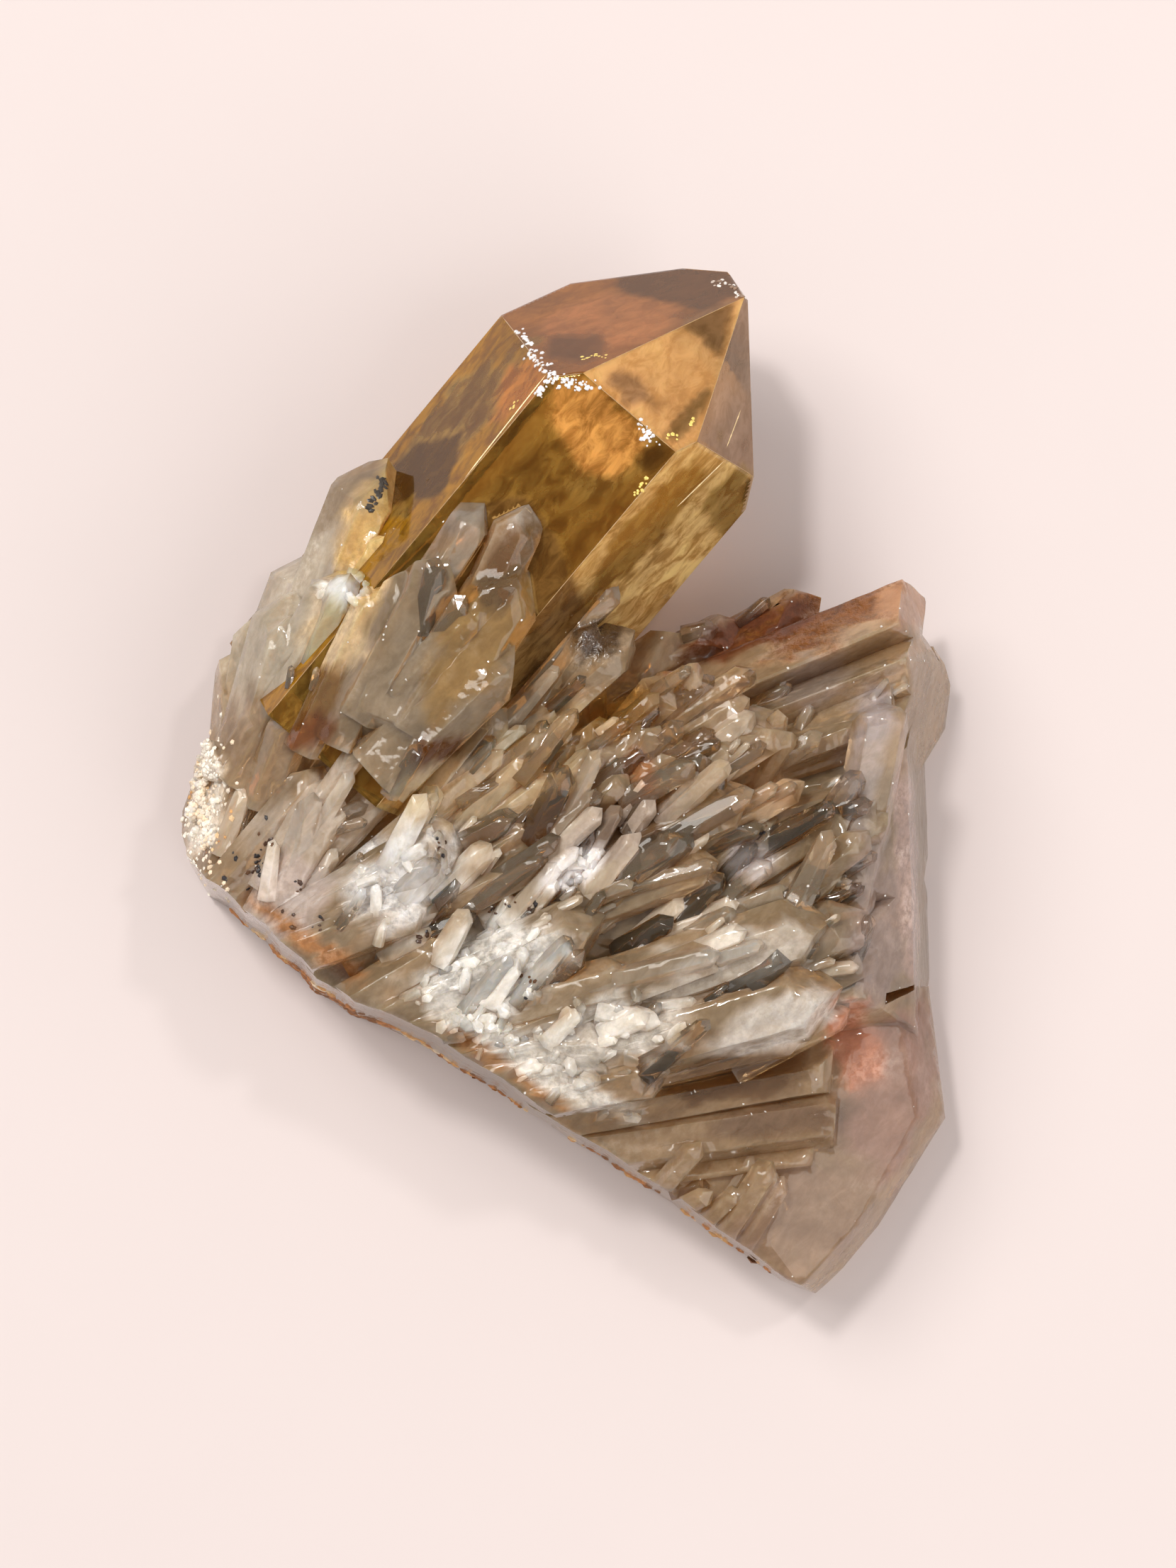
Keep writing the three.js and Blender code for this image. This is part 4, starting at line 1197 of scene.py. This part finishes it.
class CITRINE_OT_glints(bpy.types.Operator):
    """Sets the golden glints and the pale lines that show in the large point"""

    bl_idname = "citrine.glints"
    bl_label = "Glints"

    def execute(self, context):
        surface = cluster_surface()
        grains = Grains(12)
        glints = along_lines(GOLD_GLINTS, 0.2 * MM)
        grains.strew(surface, glints, (0.12, 0.12), (0.3, 0.65), (srgb(255, 226, 126),), (1, 1, 0.3))
        for ends in PALE_LINES:
            (start, outward), (end, _) = (ground(surface, mm(*place)) for place in ends)
            grains.sliver(start, end, 0.13 * MM, srgb(240, 214, 166), outward)
        shown_object("glints", grains.mesh("glints"), grain_material("gold_glint", 0.25, 0.2))
        return {"FINISHED"}


class CITRINE_OT_minerals(bpy.types.Operator):
    """Sets the dark mineral specks on the fan and the dark flake in the left point"""

    bl_idname = "citrine.minerals"
    bl_label = "Dark minerals"

    def execute(self, context):
        surface = cluster_surface()
        grains = Grains(13)
        specks = (mm(*speck) for speck in DARK_SPECKS for _ in range(grains.chance.randint(2, 5)))
        darks = (srgb(38, 34, 38), srgb(70, 44, 28), srgb(96, 62, 34))
        grains.strew(surface, specks, (0.5, 0.5), (0.4, 1.1), darks, (1, 0.7, 0.5))
        flake = along_lines((DARK_FLAKE,), 0.25 * MM)
        grains.strew(surface, flake, (0.3, 0), (0.8, 1.5), (srgb(62, 56, 50),), (0.6, 1, 0.25))
        shown_object("dark_minerals", grains.mesh("dark_minerals"), grain_material("dark_mineral", 0.4))
        return {"FINISHED"}


class CITRINE_OT_crust(bpy.types.Operator):
    """Covers the snapped foot and the left end with grains of iron-stained crust"""

    bl_idname = "citrine.crust"
    bl_label = "Foot crust"

    def execute(self, context):
        surface = cluster_surface()
        grains = Grains(14)
        chance = grains.chance
        tones = (
            srgb(255, 248, 236), srgb(252, 238, 220), srgb(248, 226, 198), srgb(238, 202, 156),
            srgb(222, 168, 108), srgb(200, 134, 80), srgb(170, 110, 64), srgb(144, 96, 60),
        )
        inward = -FOOT_OUTWARD

        def tone_at(place, darker=0):
            level = rough_noise(np.array([place]), 4 * MM, 90)[0] + chance.gauss(0, 0.05)
            return tones[int(min(len(tones) - 1, max(0, (level - 0.34) * 12 + darker)))]

        for _ in range(FOOT_GRAINS):
            along = chance.random() ** 1.6
            place = FOOT_LEFT.lerp(FOOT_RIGHT, along)
            start = Vector((place.x, place.y, chance.uniform(0.8, 21) * MM)) - inward * 30 * MM
            hit, normal, _, _ = surface.ray_cast(start, inward)
            if hit is None or hit.z < LOWEST_GRAIN or hit.dot(FOOT_OUTWARD) < FOOT_REACH - FOOT_DEPTH:
                continue
            grains.add(hit, chance.uniform(0.5, 1.8) * MM, tone_at(hit, 3.5), (1, 1, 0.35), normal)
        for _ in range(END_GRAINS):
            place = mm(-34.6 + chance.gauss(0, 1.1), -1.4 + chance.gauss(0, 3.6))
            hit, normal = ground(surface, place)
            if hit is not None:
                grains.add(hit, chance.uniform(0.3, 0.9) * MM, tone_at(hit), (1, 1, 0.6), normal)
        shown_object("foot_crust", grains.mesh("foot_crust"), grain_material("iron_crust", 0.75))
        return {"FINISHED"}


# ---- the stage ----

def area_light(name, place, target, size, power, colour):
    """A round lamp at a place, which shines at a target."""
    lamp = bpy.data.lights.new(name, "AREA")
    lamp.shape = "DISK"
    lamp.size = size
    lamp.energy = power
    lamp.color = colour
    holder = bpy.data.objects.new(name, lamp)
    holder.location = place
    holder.rotation_euler = (target - place).to_track_quat("-Z", "Y").to_euler()
    bpy.context.scene.collection.objects.link(holder)


class CITRINE_OT_stage(bpy.types.Operator):
    """Sets up the floor, the lamps, the sky and the camera that looks straight down"""

    bl_idname = "citrine.stage"
    bl_label = "Stage"

    def execute(self, context):
        scene = context.scene
        stage = scene.citrine_stage
        mesh = bpy.data.meshes.new("floor")
        wide = 3.0
        corners = [(-wide, -wide, 0), (wide, -wide, 0), (wide, wide, 0), (-wide, wide, 0)]
        mesh.from_pydata(corners, [], [(0, 1, 2, 3)])
        mesh.materials.append(floor_material(stage.floor_colour))
        floor = bpy.data.objects.new("floor", mesh)
        scene.collection.objects.link(floor)

        middle = mm(0, 0, 15)
        area_light("key", mm(-700, 700, 1200), middle, 0.9, stage.key_power, (1, 0.96, 0.9))
        area_light("sparkle", mm(-260, 420, 900), middle, 0.12, stage.sparkle_power, (1, 0.97, 0.93))
        area_light("glitter", mm(430, 480, 1000), middle, 0.1, stage.sparkle_power / 2, (1, 0.97, 0.93))
        area_light("fill", mm(500, -300, 500), middle, 0.9, stage.fill_power, (1, 0.95, 0.9))

        world = bpy.data.worlds.new("sky")
        world.use_nodes = True
        background = world.node_tree.nodes["Background"]
        background.inputs["Color"].default_value = (1, 0.95, 0.9, 1)
        background.inputs["Strength"].default_value = stage.sky
        scene.world = world

        camera = bpy.data.cameras.new("camera")
        camera.lens = 100
        camera.sensor_width = 36
        camera.clip_start = 0.01
        holder = bpy.data.objects.new("camera", camera)
        holder.location = (1.805 * MM, 0.223 * MM, stage.camera_height)
        scene.collection.objects.link(holder)
        scene.camera = holder

        scene.view_settings.view_transform = "Standard"
        scene.cycles.max_bounces = 7
        scene.cycles.transmission_bounces = 7
        scene.cycles.transparent_max_bounces = 8
        return {"FINISHED"}


class CITRINE_PT_panel(bpy.types.Panel):
    """Lists the steps that build the cluster"""

    bl_label = "Citrine Cluster"
    bl_space_type = "VIEW_3D"
    bl_region_type = "UI"
    bl_category = "Citrine"

    def draw(self, context):
        for settings in (
            context.scene.citrine_crystals, context.scene.citrine_quartz, context.scene.citrine_stage,
        ):
            box = self.layout.box()
            for name in type(settings).__annotations__:
                box.prop(settings, name)
        for step in STEPS:
            self.layout.operator(step.bl_idname)


STEPS = (
    CITRINE_OT_stage, CITRINE_OT_cluster, CITRINE_OT_cracks, CITRINE_OT_glints, CITRINE_OT_minerals,
    CITRINE_OT_crust,
)
SETTINGS = {
    "citrine_crystals": CrystalSettings,
    "citrine_quartz": QuartzSettings,
    "citrine_stage": StageSettings,
}


def register():
    for made in (*SETTINGS.values(), *STEPS, CITRINE_PT_panel):
        bpy.utils.register_class(made)
    for name, group in SETTINGS.items():
        setattr(bpy.types.Scene, name, PointerProperty(type=group))


def unregister():
    for name in SETTINGS:
        delattr(bpy.types.Scene, name)
    for made in reversed((*SETTINGS.values(), *STEPS, CITRINE_PT_panel)):
        bpy.utils.unregister_class(made)


def main():
    register()
    for step in STEPS:
        group, name = step.bl_idname.split(".")
        getattr(getattr(bpy.ops, group), name)()


if __name__ == "__main__":
    main()
